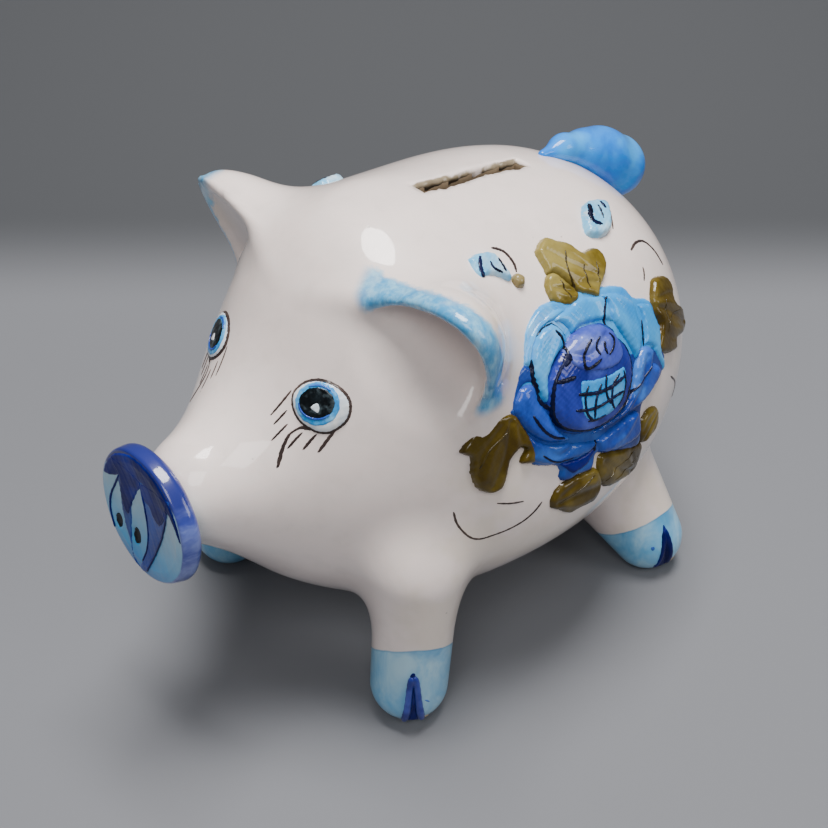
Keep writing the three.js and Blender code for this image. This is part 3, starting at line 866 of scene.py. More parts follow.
def join_parts(parts):
    P, F, k = [], [], 0
    for p, f in parts:
        P.append(p)
        F += [[i + k for i in q] for q in f]
        k += len(p)
    return np.vstack(P), F


# ---------------------------------------------------------------------------
# The glazed skin
# ---------------------------------------------------------------------------
V, F = nets(skin, (-60.1, -46, -1.5), (60.1, 128, 127.0), 1.25)
cen = V[F].mean(1)
inside = core(cen) < -1.6
under = (cen[:, 2] < 0.35)
inside &= cen[:, 2] > 12
fm = np.where(inside, 1, np.where(under, 2, 0))
p = V[F]
nn = np.cross(p[:, 1] - p[:, 0], p[:, 2] - p[:, 0])
g = grad(cen[::50], skin)
if np.einsum("ij,ij->i", nn[::50], g).mean() < 0:
    F = F[:, ::-1]
skin_o = mesh_obj("p_glazed_skin", V, F.tolist(), [WHITE, INSIDE_SHADED, CLAY], fmat=fm)
print("skin faces", len(F))
finish_piece(skin_o, nodes=["body_shell", "ear_left", "ear_right", "front_leg_left", "front_leg_right", "rear_leg_left", "rear_leg_right"])


# ---------------------------------------------------------------------------
# Outlines of the decoration, in chart millimetres
# ---------------------------------------------------------------------------
ROSE = {
    "A": [[63.63,39.41],[66.85,38.83],[69.97,37.44],[72.53,34.96],[73.49,33.07],[73.39,30.5],[73.37,27.03],[72.36,23.96],[70.3,21.33],[68.15,20.07],[67.58,22.49],[66.67,25.46],[65.38,28.55],[64.28,31.53],[64.12,34.13],[64.59,36.49],[64.08,38.17]],
    "B": [[74.44,32.84],[79.54,30.87],[80.24,27.86],[80.82,24.88],[81.19,23.81],[79.84,17.92],[80.79,14.14],[79.44,11.45],[78.09,14.04],[76.28,18.62],[75.95,20.14],[73.4,21.71],[71.27,20.84],[73.33,23.53],[74.34,26.66],[74.65,30.09]],
    "C": [[56.8,41.66],[59.8,40.67],[63.65,39.37],[64.72,38.09],[65.28,35.93],[64.55,33.64],[64.64,31.81],[61.02,33.57],[57.25,34.49],[54.0,35.0],[50.78,34.26],[50.08,36.23],[48.89,38.19],[47.27,39.3],[48.81,40.52],[51.46,40.67],[53.93,40.91]],
    "D": [[50.24,41.91],[46.2,41.73],[42.44,40.85],[39.5,39.25],[37.16,36.98],[35.26,34.07],[36.72,31.7],[37.38,30.11],[38.39,33.06],[40.09,36.07],[42.47,38.35],[45.1,39.28],[47.56,39.26],[50.17,39.42],[52.24,40.02]],
    "E": [[46.51,39.38],[43.85,39.49],[41.03,38.67],[38.76,36.42],[37.23,33.42],[36.47,30.02],[36.49,27.08],[36.82,23.95],[38.22,22.04],[39.4,24.06],[40.35,27.44],[42.12,30.0],[44.71,31.77],[47.89,32.87],[48.98,34.05],[48.4,36.75]],
    "F": [[35.35,34.05],[33.02,33.44],[31.32,32.54],[30.36,30.41],[29.36,27.39],[28.82,24.54],[29.55,23.07],[30.84,25.79],[32.66,28.44],[35.01,28.85],[37.32,27.56],[37.91,29.87],[37.6,31.73],[36.6,33.04]],
    "G": [[34.13,29.21],[36.05,28.33],[36.41,26.26],[36.41,23.27],[38.03,19.08],[38.72,16.18],[40.03,13.43],[42.09,11.22],[41.32,10.26],[36.58,11.91],[33.28,14.47],[31.18,17.39],[29.73,20.69],[29.2,24.0],[29.9,26.71],[31.8,28.81]],
    "H": [[31.25,16.86],[33.47,14.32],[36.79,11.83],[41.52,10.09],[46.52,8.08],[50.36,6.57],[49.66,5.14],[47.47,4.39],[43.57,4.61],[38.45,5.53],[35.57,6.24],[32.94,7.68],[30.97,9.64],[30.91,12.57],[30.93,15.23]],
    "I": [[37.73,5.64],[40.29,5.58],[44.49,4.96],[48.0,5.56],[50.11,6.69],[49.99,4.22],[48.12,2.89],[46.19,1.57],[43.33,1.09],[41.2,1.32],[39.37,3.26]],
    "J": [[50.11,6.69],[53.76,7.28],[58.29,7.59],[63.11,7.97],[66.21,7.14],[67.1,3.48],[66.47,0.54],[63.75,-0.34],[59.36,0.14],[54.68,1.12],[51.07,2.62],[50.32,4.72]],
    "K": [[72.13,22.23],[74.71,21.0],[75.09,19.28],[73.83,16.7],[75.65,16.1],[77.06,14.3],[76.04,12.02],[73.71,10.38],[70.3,8.85],[66.43,8.24],[62.13,8.07],[56.81,8.14],[51.84,8.16],[48.38,8.5],[52.32,10.19],[57.35,10.51],[61.53,11.66],[64.02,13.6],[65.75,16.33],[67.26,19.17],[69.32,21.33]],
    "M": [[58.91,34.1],[54.3,34.93],[50.13,34.61],[47.09,33.46],[44.14,32.3],[41.05,29.99],[38.76,26.49],[37.85,22.74],[38.01,18.49],[39.42,14.5],[42.35,11.75],[46.81,9.81],[51.93,9.24],[57.02,9.72],[61.4,11.6],[64.28,15.46],[65.64,19.14],[65.91,23.26],[64.92,26.58],[63.37,28.86],[62.63,31.21],[61.1,33.04]],
}
ROSE_STROKES = {
    "ring": [[[45.76,37.75],[46.49,35.51],[46.74,32.67],[45.61,30.77],[42.65,28.84],[40.17,25.89],[38.91,22.39],[38.52,18.88],[39.57,15.56],[42.06,13.25],[45.93,11.4],[50.88,10.49],[55.29,11.05],[59.27,12.84],[61.78,15.92],[63.98,19.14],[64.65,22.58],[64.07,26.09],[62.83,29.01],[61.74,31.84],[61.77,34.63],[63.01,36.57],[65.02,38.25]],0.75],
    "sq1": [[[53.58,31.99],[51.28,30.75],[49.77,29.02],[49.2,27.28],[49.88,26.21],[51.86,26.19],[54.41,26.75]],0.7],
    "sq2": [[[56.27,31.52],[54.65,30.59],[54.19,29.2],[54.52,27.69]],0.6],
    "sq3": [[[57.14,30.0],[56.43,28.7],[56.6,27.05]],0.6],
    "sq4": [[[59.38,31.09],[60.01,29.27],[58.99,27.69],[57.04,26.68]],0.55],
    "g1": [[[48.72,22.29],[47.14,20.53],[46.5,17.97],[46.7,15.45],[48.08,13.44]],0.6],
    "g2": [[[52.58,21.08],[50.33,18.78],[49.16,16.44],[48.44,13.69]],0.65],
    "g3": [[[54.88,22.54],[53.73,20.19],[53.41,17.48],[54.17,15.12]],0.6],
    "g4": [[[58.86,21.08],[56.17,19.55],[54.96,17.2],[54.67,14.86],[55.16,13.41]],0.6],
    "g5": [[[60.43,21.23],[60.34,18.17],[58.87,15.48],[56.72,13.51]],0.5],
    "g6": [[[45.38,21.48],[49.32,20.02],[52.53,19.28],[56.09,19.2],[60.64,19.75]],0.85],
    "g7": [[[43.65,17.97],[47.09,16.71],[50.9,16.1],[55.15,16.34],[58.91,16.38]],0.7],
    "g8": [[[46.48,13.86],[49.12,13.14],[52.04,13.11]],0.55],
    "dash_d": [[[40.76,26.64],[43.45,26.1],[46.03,25.81]],1.0],
    "l1": [[[37.43,34.12],[36.43,30.44],[36.44,27.1],[36.51,23.68],[38.45,20.26]],0.85],
    "l2": [[[46.51,39.38],[47.9,37.37],[48.62,35.02]],0.35],
    "l3": [[[33.04,21.38],[34.09,18.31],[35.53,15.49],[37.69,13.23],[40.41,11.81]],0.6],
    "l4": [[[33.57,10.11],[35.73,7.64],[38.43,6.03],[42.0,5.57]],0.45],
    "l5": [[[74.37,28.39],[73.36,25.29],[72.53,22.12]],0.55],
    "l6": [[[72.95,17.16],[69.46,15.2],[65.57,13.88],[62.52,12.64],[58.4,11.9]],0.4],
    "l7": [[[49.87,6.71],[48.97,5.17],[49.09,4.24]],0.8],
    "l8": [[[40.92,38.4],[43.51,39.31],[46.8,39.35]],0.25],
    "blot": [[[46.67,31.56],[45.62,30.41],[44.13,29.43]],1.6],
}
BODY_STROKES = {
    "arc1": [[[38.4,49.96],[36.91,48.69],[35.9,46.85],[35.31,42.32]],0.6],
    "smile": [[[11.63,0.78],[12.09,-3.75],[14.26,-8.05],[17.49,-9.92],[22.23,-9.37],[27.23,-7.56],[30.44,-5.49],[32.71,-3.29]],0.42],
    "dash": [[[21.28,0.57],[24.38,-0.59],[27.85,-1.24]],0.4],
    "arc2": [[[83.59,45.18],[87.83,46.44],[92.3,45.68],[95.54,41.8],[96.81,36.58]],0.65],
    "arc3": [[[84.79,39.67],[84.07,38.08],[82.55,36.31]],0.5],
    "arc4": [[[86.48,5.73],[91.49,0.31],[94.66,-5.94],[93.26,-7.58]],0.5],
    "arc5": [[[42.7,61.26],[44.23,60.27],[45.44,58.74],[45.78,55.76],[45.06,53.57]],0.6],
    "arc6": [[[86.88,60.6],[86.73,58.32],[84.41,55.23],[82.09,52.45]],0.45],
    "lash0": [[[-5.17,41.22],[-5.79,42.85],[-7.02,44.7],[-8.88,46.84],[-10.04,49.3],[-11.67,49.86],[-12.91,49.18],[-15.09,44.83],[-17.29,37.61]],0.42],
    "lash1": [[[-8.08,64.31],[-10.64,63.66],[-13.27,62.96]],0.42],
    "lash2": [[[-10.52,59.43],[-13.79,58.37]],0.42],
    "lash3": [[[-11.76,54.34],[-13.79,53.38],[-15.76,52.28]],0.42],
    "lash4": [[[-10.4,47.25],[-12.17,45.99],[-13.96,44.2]],0.42],
    "lash5": [[[-8.45,43.47],[-10.1,41.96],[-11.64,40.08]],0.42],
    "lash6": [[[-5.3,41.37],[-7.42,38.94],[-9.48,36.04]],0.42],
}
BUD_STROKES = {
    "b1a": [[[36.77,60.21],[35.48,58.61],[34.85,57.12],[35.09,55.29],[36.45,53.25]],1.0],
    "b1b": [[[38.44,58.25],[38.26,57.25],[38.54,56.38],[40.01,54.78]],0.55],
    "b1c": [[[41.0,58.04],[41.09,56.64],[40.92,54.67]],0.7],
    "b2a": [[[78.06,60.77],[76.79,59.07],[75.29,57.53],[74.87,55.75],[76.9,54.34]],1.3],
    "b2b": [[[80.54,59.58],[79.93,57.86],[78.7,55.56]],0.6],
    "b2c": [[[82.39,60.36],[82.51,59.26],[82.34,57.91]],1.0],
}
LEAVES = {
    "leaf_top_a": [[57.58,57.75],[60.29,56.01],[63.39,53.9],[64.49,51.58],[66.07,50.44],[69.33,50.31],[70.92,49.03],[71.25,46.31],[69.57,43.69],[66.44,41.72],[64.76,40.6],[63.17,38.95],[60.26,40.71],[58.22,42.22],[56.63,45.11],[55.45,47.55],[54.28,49.12],[52.47,49.84],[52.65,51.53],[52.87,54.6],[53.73,56.11]],
    "leaf_top_b": [[51.72,49.26],[53.95,49.47],[55.45,47.55],[56.63,45.11],[58.03,42.13],[56.19,40.55],[53.15,40.86],[51.11,42.22],[49.95,43.97],[49.99,46.94]],
    "leaf_ru": [[86.19,35.47],[91.16,34.62],[93.31,32.01],[93.25,28.97],[92.34,26.3],[95.63,22.79],[97.27,17.11],[93.22,15.61],[88.85,16.4],[87.59,14.04],[82.8,15.13],[78.18,18.42],[79.71,21.67],[81.48,23.68],[81.23,27.48],[81.67,30.99],[83.86,33.91]],
    "leaf_front": [[15.18,19.9],[17.9,22.76],[20.41,24.98],[23.56,25.11],[27.76,24.45],[30.06,22.51],[30.91,19.32],[31.83,16.11],[32.69,12.36],[31.97,9.04],[29.71,9.18],[28.27,10.38],[30.21,12.92],[28.47,13.99],[25.86,12.01],[24.44,8.56],[22.66,5.12],[19.66,4.75],[17.11,7.28],[16.36,11.96],[16.9,16.64],[15.6,18.47]],
    "leaf_low_front": [[35.03,-5.79],[35.65,-2.45],[38.89,-0.39],[45.52,-0.55],[49.79,-1.45],[51.42,-6.39],[49.09,-10.25],[43.93,-10.05],[40.51,-9.95],[37.59,-7.55]],
    "leaf_low_rear": [[50.76,0.89],[53.87,1.06],[67.74,-3.56],[68.64,-7.4],[66.67,-11.63],[59.25,-10.53],[53.39,-8.46],[50.49,-4.1]],
    "leaf_rear_lower": [[68.95,2.43],[73.04,3.77],[76.98,1.48],[77.23,-3.24],[74.15,-5.15],[68.32,-3.92]],
}
LEAF_STROKES = {
    "f1": [[[26.77,20.18],[23.61,18.93],[20.69,17.03],[18.2,13.36]],0.5],
    "t1": [[[59.91,52.43],[58.87,50.55],[57.41,48.45],[57.23,45.9],[57.41,42.83]],0.4],
    "t2": [[[67.07,46.6],[65.86,44.36],[64.77,42.13]],0.35],
    "t3": [[[63.03,47.64],[61.58,45.09],[61.27,42.17]],0.35],
    "t4": [[[54.22,47.09],[54.14,44.98],[54.61,42.25]],0.35],
    "r1": [[[86.06,29.25],[84.9,25.96],[84.08,22.57]],0.4],
    "r2": [[[94.14,22.97],[87.78,24.28],[84.89,23.15],[83.63,20.89]],0.35],
    "lf1": [[[37.03,-5.12],[42.15,-3.87],[48.49,-2.27]],0.3],
    "lf2": [[[52.46,-6.06],[57.3,-4.51],[64.61,-3.88]],0.3],
    "lf3": [[[56.01,-7.46],[61.47,-7.62],[66.62,-6.4]],0.25],
}
BUDS = {
    "bud_1": [[34.33,61.07],[37.83,61.27],[41.39,59.89],[42.26,56.83],[42.49,53.29],[41.35,52.68],[39.48,54.24],[37.1,55.5],[33.86,55.55],[32.9,57.26],[33.58,59.78]],
    "bud_2": [[77.71,61.65],[83.61,61.61],[86.05,59.57],[83.64,55.85],[79.96,52.57],[75.46,51.78],[71.7,53.64],[72.75,56.73]],
    "berry": [[43.93,51.59]],
}
EYE = {
    "ring": [[-1.0,5.66],[1.75,5.46],[4.54,4.31],[6.41,2.49],[7.04,0.48],[6.76,-1.93],[5.4,-3.98],[2.97,-5.81],[0.38,-6.19],[-1.82,-5.56],[-4.12,-4.34],[-5.73,-2.5],[-6.61,-0.29],[-6.4,2.09],[-4.19,4.53]],
    "iris": [[4.73,1.09],[4.54,-0.84],[3.62,-2.61],[2.09,-3.92],[0.2,-4.58],[-1.79,-4.5],[-3.58,-3.69],[-4.92,-2.28],[-5.58,-0.49],[-5.44,1.43],[-4.5,3.19],[-2.91,4.52],[-0.94,5.2],[1.09,5.14],[2.87,4.34],[4.15,2.91]],
    "pupil": [[3.62,1.09],[3.46,-0.32],[2.7,-1.61],[1.46,-2.58],[-0.07,-3.09],[-1.68,-3.06],[-3.12,-2.5],[-4.17,-1.49],[-4.67,-0.19],[-4.54,1.21],[-3.77,2.5],[-2.49,3.49],[-0.91,4.01],[0.72,3.99],[2.15,3.42],[3.16,2.4]],
    "tri": [[-1.77,-0.62],[-0.06,0.48],[0.08,-1.6]],
    "hi": [[-1.43,4.71],[-0.06,4.66],[1.39,3.84],[2.62,2.46]],
}
DISC = {
    "outline": [[-3.27,19.76],[1.46,21.81],[6.38,22.32],[10.21,21.19],[12.12,17.41],[12.74,13.43],[13.13,8.91],[13.15,4.07],[12.79,-4.49],[11.88,-12.36],[5.45,-14.77],[-0.42,-16.35],[-7.84,-16.74],[-12.48,-12.99],[-14.84,-7.08],[-16.22,0.35],[-15.02,8.08],[-10.92,14.01]],
    "wedgeA": [[-12.19,11.35],[-1.18,10.05],[-3.24,5.54],[-5.57,1.11],[-7.24,-3.39],[-9.05,-2.07],[-10.08,2.04],[-9.79,6.87]],
    "wedgeB": [[-0.51,9.8],[11.41,12.92],[9.57,8.26],[7.72,4.17],[5.47,1.34],[3.46,2.11],[1.79,4.37],[-0.45,5.28]],
    "bandB": [[-1.43,9.9],[-0.76,7.06],[0.14,1.34],[0.62,-4.1],[0.22,-8.85],[-1.38,-13.44],[-2.63,-16.62],[0.11,-15.8],[3.27,-9.23],[6.37,-2.03],[8.64,4.43],[10.05,8.89],[11.41,12.92]],
    "bandA": [[-9.79,6.87],[-10.08,2.04],[-9.66,-3.14],[-8.39,-7.52],[-6.51,-10.85],[-4.73,-15.35],[-2.39,-16.63],[-5.11,-14.18],[-6.1,-9.18],[-6.22,-4.39],[-5.87,0.59],[-3.24,5.54],[-1.18,10.05]],
    "light1": [[-9.51,7.2],[-11.94,2.92],[-13.8,-1.59],[-13.98,-6.19],[-12.95,-10.46],[-10.51,-13.49],[-7.27,-15.99],[-3.4,-16.96],[-5.64,-14.53],[-7.8,-11.35],[-9.15,-7.66],[-9.96,-3.67],[-10.16,1.31]],
    "light2": [[-1.43,9.9],[-3.24,5.54],[-5.87,0.59],[-6.22,-4.39],[-6.07,-8.81],[-5.11,-14.18],[-2.79,-16.72],[-1.35,-13.06],[0.18,-8.18],[0.74,-2.66],[-0.02,2.24],[-1.04,6.56]],
    "light3": [[9.94,8.5],[8.64,4.43],[6.37,-2.03],[3.27,-9.23],[0.38,-15.51],[5.46,-14.58],[11.88,-12.36],[12.93,-4.39],[12.71,1.81],[11.64,6.02]],
    "nosA": [[-11.39,-7.7]],
    "nosB": [[-4.28,-7.99]],
}


# ---------------------------------------------------------------------------
# Rose, leaves, buds and berry on both flanks
# ---------------------------------------------------------------------------
def arr(x):
    return np.array(x, float)


VE = {
    "A": [([(66.5, 38.0), (69.5, 30.0), (70.0, 24.0)], 0.9, -0.35)],
    "C": [([(60.5, 41.0), (61.0, 36.0)], 0.8, -0.3)],
    "D": [([(45.0, 41.0), (40.0, 36.0), (37.0, 31.0)], 0.9, -0.3)],
    "E": [([(47.5, 37.0), (42.0, 31.0), (41.0, 25.5)], 1.0, 0.35)],
    "G": [([(33.0, 26.0), (34.5, 19.0), (38.0, 14.0)], 0.9, 0.3)],
    "H": [([(35.0, 12.0), (38.0, 8.0), (44.0, 9.0)], 0.8, -0.3)],
    "K": [([(71.5, 20.0), (68.0, 13.0), (60.0, 8.0)], 0.9, -0.4)],
    "J": [([(66.0, 8.0), (60.0, 4.0), (55.0, 3.5)], 0.8, 0.3)],
}
ROSE_SPEC = [
    ("F", 1.5, 1.4, COBALT_D, None),
    ("D", 1.7, 1.8, SKY, 3),
    ("B", 1.6, 1.5, SKY, 9),
    ("A", 2.3, 2.2, SKY, 1),
    ("C", 2.0, 1.8, SKY, 2),
    ("I", 1.6, 1.2, NAVY, 7),
    ("H", 2.0, 1.6, COBALT_D, 6),
    ("J", 2.3, 1.8, COBALT, None),
    ("G", 2.5, 1.9, COBALT, 5),
    ("K", 2.8, 2.0, COBALT, 8),
    ("E", 2.7, 1.9, SKY, 4),
]
CH = Flank()
CT = Flank(trunk)
parts = []
for nm, Q, h, mt in (("rose_bed_low", [[76.9, 19.7], [80.5, 17.4], [81.0, 14.0], [77.1, 9.9], [68.8, 7.0], [67.2, -3.1], [59.1, -0.9], [50.6, 2.9], [48.0, -0.4], [43.2, 0.1], [39.9, -0.1], [38.1, 1.3], [38.0, 4.8], [31.4, 8.3], [31.6, 14.7], [29.3, 21.6], [28.6, 25.4], [45, 24], [62, 24]], 1.15, COBALT_D), ("rose_bed_top", [[30.9, 33.7], [32.9, 34.1], [34.9, 35.6], [37.2, 38.8], [40.4, 41.6], [45.9, 43.9], [51.2, 43.4], [53.6, 42.7], [58.1, 42.9], [63.9, 41.1], [68.2, 40.2], [72.8, 38.1], [75.0, 34.4], [80.2, 31.7], [80.9, 27.3], [80.5, 22.7], [76.9, 19.7], [62, 20], [45, 20], [32, 22]], 1.05, SKY)):
    bed = Relief(Q, h, 1.1, ripple=0.05, seed=9.0)
    FIELD.append(bed)
    P_, F_ = grid_solid(CH, bed)
    two_sided(nm, P_, F_, mt)
for i, (kk, h, e, mt, num) in enumerate(ROSE_SPEC):
    r = Relief(ROSE[kk], h, e, veins=[(open_spline(l), w_, d_) for l, w_, d_ in VE.get(kk, [])], seed=i * 1.3)
    FIELD.append(r)
    parts.append((kk, r, mt, num))
bud = Relief(ROSE["M"], 4.3, 2.4, dome=9.5, ripple=0.08, seed=4.0, veins=[(open_spline([(47, 31), (52, 29), (58, 31), (62, 33)]), 0.8, -0.35)])
FIELD.append(bud)
for kk, r, mt, num in parts:
    P_, F_ = grid_solid(CH, r)
    two_sided("petal_" + kk, P_, F_, mt, nodes=["rose_petal_%d" % num] if num else None)
P_, F_ = grid_solid(CH, bud)
two_sided("rose_bud", P_, F_, VIOLET, nodes=["rose_bud"])

# the bud's painted parts, low solids over the dome
GRID = arr([[47.22,23.91],[49.73,23.15],[52.35,22.5],[56.55,21.85],[60.86,21.78],[60.8,18.85],[59.59,16.07],[57.14,13.82],[52.71,12.77],[48.19,13.36],[45.92,15.76],[45.92,19.82]])
BLADE = arr([[45.86,32.99],[47.25,34.95],[50.3,35.48],[53.38,35.35],[57.76,34.2],[60.55,31.46],[62.02,28.1],[61.52,24.68],[58.55,23.46],[53.75,24.22],[48.91,26.41],[46.26,29.29]])


def over(rel, extra=0.0):
    return lambda A: rel.height(A)[0].clip(0) + extra


for nm, Q, h, mt, sl in (("bud_grid", GRID, 0.22, SKY, "glaze_sky_blue"), ("bud_blade", BLADE, 0.35, VIOLET_RIM, "glaze_violet")):
    r = Relief(Q, h, 0.8, base=over(bud), ripple=0.03)
    FIELD.append(r)
    P_, F_ = grid_solid(CH, r, step=0.4, sink=0.35)
    two_sided(nm, P_, F_, mt)

LEAF = {
    "leaf_top_a": ("leaf_top", OLIVE_T, 2.0), "leaf_top_b": (None, OLIVE_T, 1.7), "leaf_ru": ("leaf_rear_upper", OLIVE, 1.8),
    "leaf_front": ("leaf_front", OLIVE, 1.8), "leaf_low_front": ("leaf_low_front", OLIVE, 1.35), "leaf_low_rear": ("leaf_low_rear", OLIVE, 1.3), "leaf_rear_lower": ("leaf_rear_lower", OLIVE, 1.35),
}
for i, (nm, (node, mt, h)) in enumerate(LEAF.items()):
    Q = arr(LEAVES[nm])
    c = Q.mean(0)
    far = Q[np.argmax(np.linalg.norm(Q - c, axis=1))]
    ax_ = (far - c) / np.linalg.norm(far - c)
    pr = arr([-ax_[1], ax_[0]])
    L = np.linalg.norm(far - c)
    ve = [([c - ax_ * L * 0.7, c + pr * L * 0.05, c + ax_ * L * 0.8], 0.7, -0.4)]
    for s, q in ((1, 0.26), (-1, 0.26), (1, 0.48), (-1, 0.48)):
        ve.append(([c - ax_ * L * 0.6 + pr * s * L * q * 0.4, c + pr * s * L * q, c + ax_ * L * (0.75 - q * 0.4) + pr * s * L * q * 0.9], 0.8, 0.24 if q < 0.3 else -0.22))
    r = Relief(Q, h, 1.3, veins=[(open_spline(l, 5), a, b) for l, a, b in ve], ripple=0.05, seed=i + 0.5)
    FIELD.append(r)
    P_, F_ = grid_solid(CH, r)
    two_sided(nm, P_, F_, mt, nodes=[node] if node else None)
for nm, node, mt in (("bud_1", "flower_bud_front", SKY_PALE), ("bud_2", "flower_bud_rear", SKY_PALE)):
    r = Relief(BUDS[nm], 2.0, 1.5, ripple=0.12, seed=2.2)
    FIELD.append(r)
    P_, F_ = grid_solid(CH, r, step=0.3)
    two_sided("small_" + nm, P_, F_, mt, nodes=[node])
bc = arr(BUDS["berry"][0])
bq = [bc + 1.75 * arr([math.cos(a), math.sin(a)]) for a in np.linspace(0, 2 * math.pi, 13)[:-1]]
r = Relief(bq, 1.9, 1.7, ripple=0.03)
FIELD.append(r)
P_, F_ = grid_solid(CH, r, step=0.16)
two_sided("berry", P_, F_, OLIVE_L, nodes=["berry"])

# ---------------------------------------------------------------------------
# Brush strokes
# ---------------------------------------------------------------------------
st = [ribbon(CH, q, w_ * (0.95 if n_ == "ring" else 1.2), up=0.2, down=0.3) for n_, (q, w_) in ROSE_STROKES.items()]
st += [ribbon(CH, q, w_ * 1.1, up=0.16, down=0.25) for n_, (q, w_) in BUD_STROKES.items() if n_[:2] == "b1"]
P_, F_ = join_parts([ribbon(CH, q, w_ * 1.1, up=0.16, down=0.25) for n_, (q, w_) in BUD_STROKES.items() if n_[:2] == "b2"])
two_sided("bud_2_lines", P_, F_, BLACK)
P_, F_ = join_parts(st)
two_sided("rose_line_work", P_, F_, BLACK)
st = [ribbon(CT, q, w_ * (2.4 if n_[:4] == "lash" else 1.3), up=0.1, down=0.25) for n_, (q, w_) in BODY_STROKES.items() if len(q) > 1]
P_, F_ = join_parts(st)
two_sided("fine_line_work", P_, F_, BROWN)
LEAF_DARK = m_paint("leaf_dark", ("2a2209", "3d3112", "55461c"), big=100)
P_, F_ = join_parts([ribbon(CH, q, w_, up=0.12, down=0.25) for n_, (q, w_) in LEAF_STROKES.items() if n_[0] != "t"])
two_sided("leaf_line_work", P_, F_, LEAF_DARK)
P_, F_ = join_parts([ribbon(CH, q, w_ * 1.2, up=0.12, down=0.25) for n_, (q, w_) in LEAF_STROKES.items() if n_[0] == "t"])
two_sided("leaf_top_lines", P_, F_, LEAF_DARK)

# ---------------------------------------------------------------------------
# Eyes
# ---------------------------------------------------------------------------
EYP = Plane((19.071, -5.583, 92.772), (0.4629, -0.7361, 0.4938), (0.8465, 0.5324, 0), (-0.2629, 0.418, 0.8696), core)
ball = Relief(EYE["ring"], 1.15, 2.2, dome=6.0, ripple=0.02)
P_, F_ = grid_solid(EYP, ball, step=0.25)
two_sided("eyeball", P_, F_, EYEWHITE, nodes=["eye"])
bh = over(ball)
for nm, Q, h, mt, ex in (("iris", EYE["iris"], 0.12, IRIS, 0.0), ("pupil", EYE["pupil"], 0.12, PUPIL, 0.1), ("eye_glint", EYE["tri"], 0.1, EYEWHITE, 0.22)):
    P_, F_ = grid_solid(EYP, Relief(Q, h, 0.35, base=over(ball, ex), ripple=0.015), step=0.17 if nm != "eye_glint" else 0.1, sink=0.3)
    two_sided(nm, P_, F_, mt)
ring = EYE["ring"] + [EYE["ring"][0], EYE["ring"][1]]
st = [ribbon(EYP, ring, 0.62, base=bh, up=0.12, down=0.2, taper=0.2)]
iris_line = EYE["iris"] + [EYE["iris"][0]]
P_, F_ = join_parts(st)
two_sided("eye_outline", P_, F_, BROWN)
pu = arr(EYE["pupil"])
st = [ribbon(EYP, pu[2:9], 0.45, base=over(ball, 0.24), up=0.08, down=0.2), ribbon(EYP, (pu[11:15]) * 1.12, 0.5, base=over(ball, 0.2), up=0.08, down=0.2)]
P_, F_ = join_parts(st)
two_sided("eye_blue_shade", P_, F_, COBALT)

# ---------------------------------------------------------------------------
# Snout disc with nostrils and painted face
# ---------------------------------------------------------------------------
DN = arr([0, -0.9942, 0.1074])
DN /= np.linalg.norm(DN)
DU = arr([1.0, 0, 0])
DV = np.cross(DN, DU)
if DV[2] < 0:
    DV = -DV
DC = arr([0, -41.23, 69.08])
R0, HALF, RD = 17.94, 2.9, 1.6
NOS = [(-11.3, -7.5, 1.15, 1.7), (-4.3, -8.0, 1.3, 2.05)]


def face_z(A):
    """height of the disc's front above its middle plane"""
    r = np.linalg.norm(A, axis=1)
    z = HALF - 0.4 - 0.9 * np.clip(1 - (r / 14.6) ** 2, 0, 1) ** 0.8
    edge = np.clip((r - (R0 - 0.9)) / 0.9, 0, 1)
    z = z - 0.8 * (1 - np.sqrt(np.maximum(1 - edge**2, 0)))
    return z + 0.05 * soft(A * 0.5) * (r < 16)


def nostril(A):
    d = 0
    for u, v, a, b in NOS:
        q = np.sqrt(((A[:, 0] - u) / a) ** 2 + ((A[:, 1] - v) / b) ** 2)
        d = d - 0.9 / (1 + np.exp(np.clip((q - 1.0) * 9, -40, 40)))
    return d


def squeeze(A, s=0.945, du=-0.75):
    """the front is a little smaller than the back, and off to the pig's right"""
    return A * s + arr([du, 0.0])


def disc_mesh():
    nr, na = 84, 200
    F = []
    rr = (R0 - 0.01) * (np.arange(1, nr + 1) / nr) ** 0.93
    th = np.linspace(0, 2 * math.pi, na, endpoint=False)
    out = 0.10 * np.sin(3 * th + 1) + 0.07 * np.sin(7 * th) - 0.12
    A = np.stack([(rr[:, None] * np.cos(th)).ravel(), (rr[:, None] * np.sin(th)).ravel()], 1)
    A = np.vstack([[(0, 0)], A])
    S = squeeze(A)
    Z = face_z(A) + nostril(S)
    rad = np.linalg.norm(A, axis=1) / R0
    wobble = np.concatenate([[0], np.tile(out, nr)]) / R0 * rad**6
    S = S + A * wobble[:, None]
    P = S[:, :1] * DU + S[:, 1:] * DV + Z[:, None] * DN
    for j in range(na):
        F.append([0, 1 + j, 1 + (j + 1) % na])
    for i in range(nr - 1):
        for j in range(na):
            a, b = 1 + i * na + j, 1 + i * na + (j + 1) % na
            F.append([a, a + na, b + na, b])
    P = list(P)
    last = 1 + (nr - 1) * na
    E = np.stack([np.cos(th), np.sin(th)], 1) * (R0 + out)[:, None]
    for s, du, z in [(0.947, -0.72, 1.6), (0.955, -0.6, 0.8), (0.962, -0.45, 0.0), (0.962, -0.35, -0.8), (0.945, -0.25, -1.6), (0.90, -0.1, -2.3), (0.82, 0.0, -2.8), (0.5, 0.0, -2.9)]:
        base = len(P)
        for j in range(na):
            q = E[j] * s + arr([du, 0])
            P.append(q[0] * DU + q[1] * DV + z * DN)
        for j in range(na):
            F.append([last + j, base + j, base + (j + 1) % na, last + (j + 1) % na])
        last = base
    P.append(-2.9 * DN)
    for j in range(na):
        F.append([last + j, len(P) - 1, last + (j + 1) % na])
    return arr(P) + DC, F


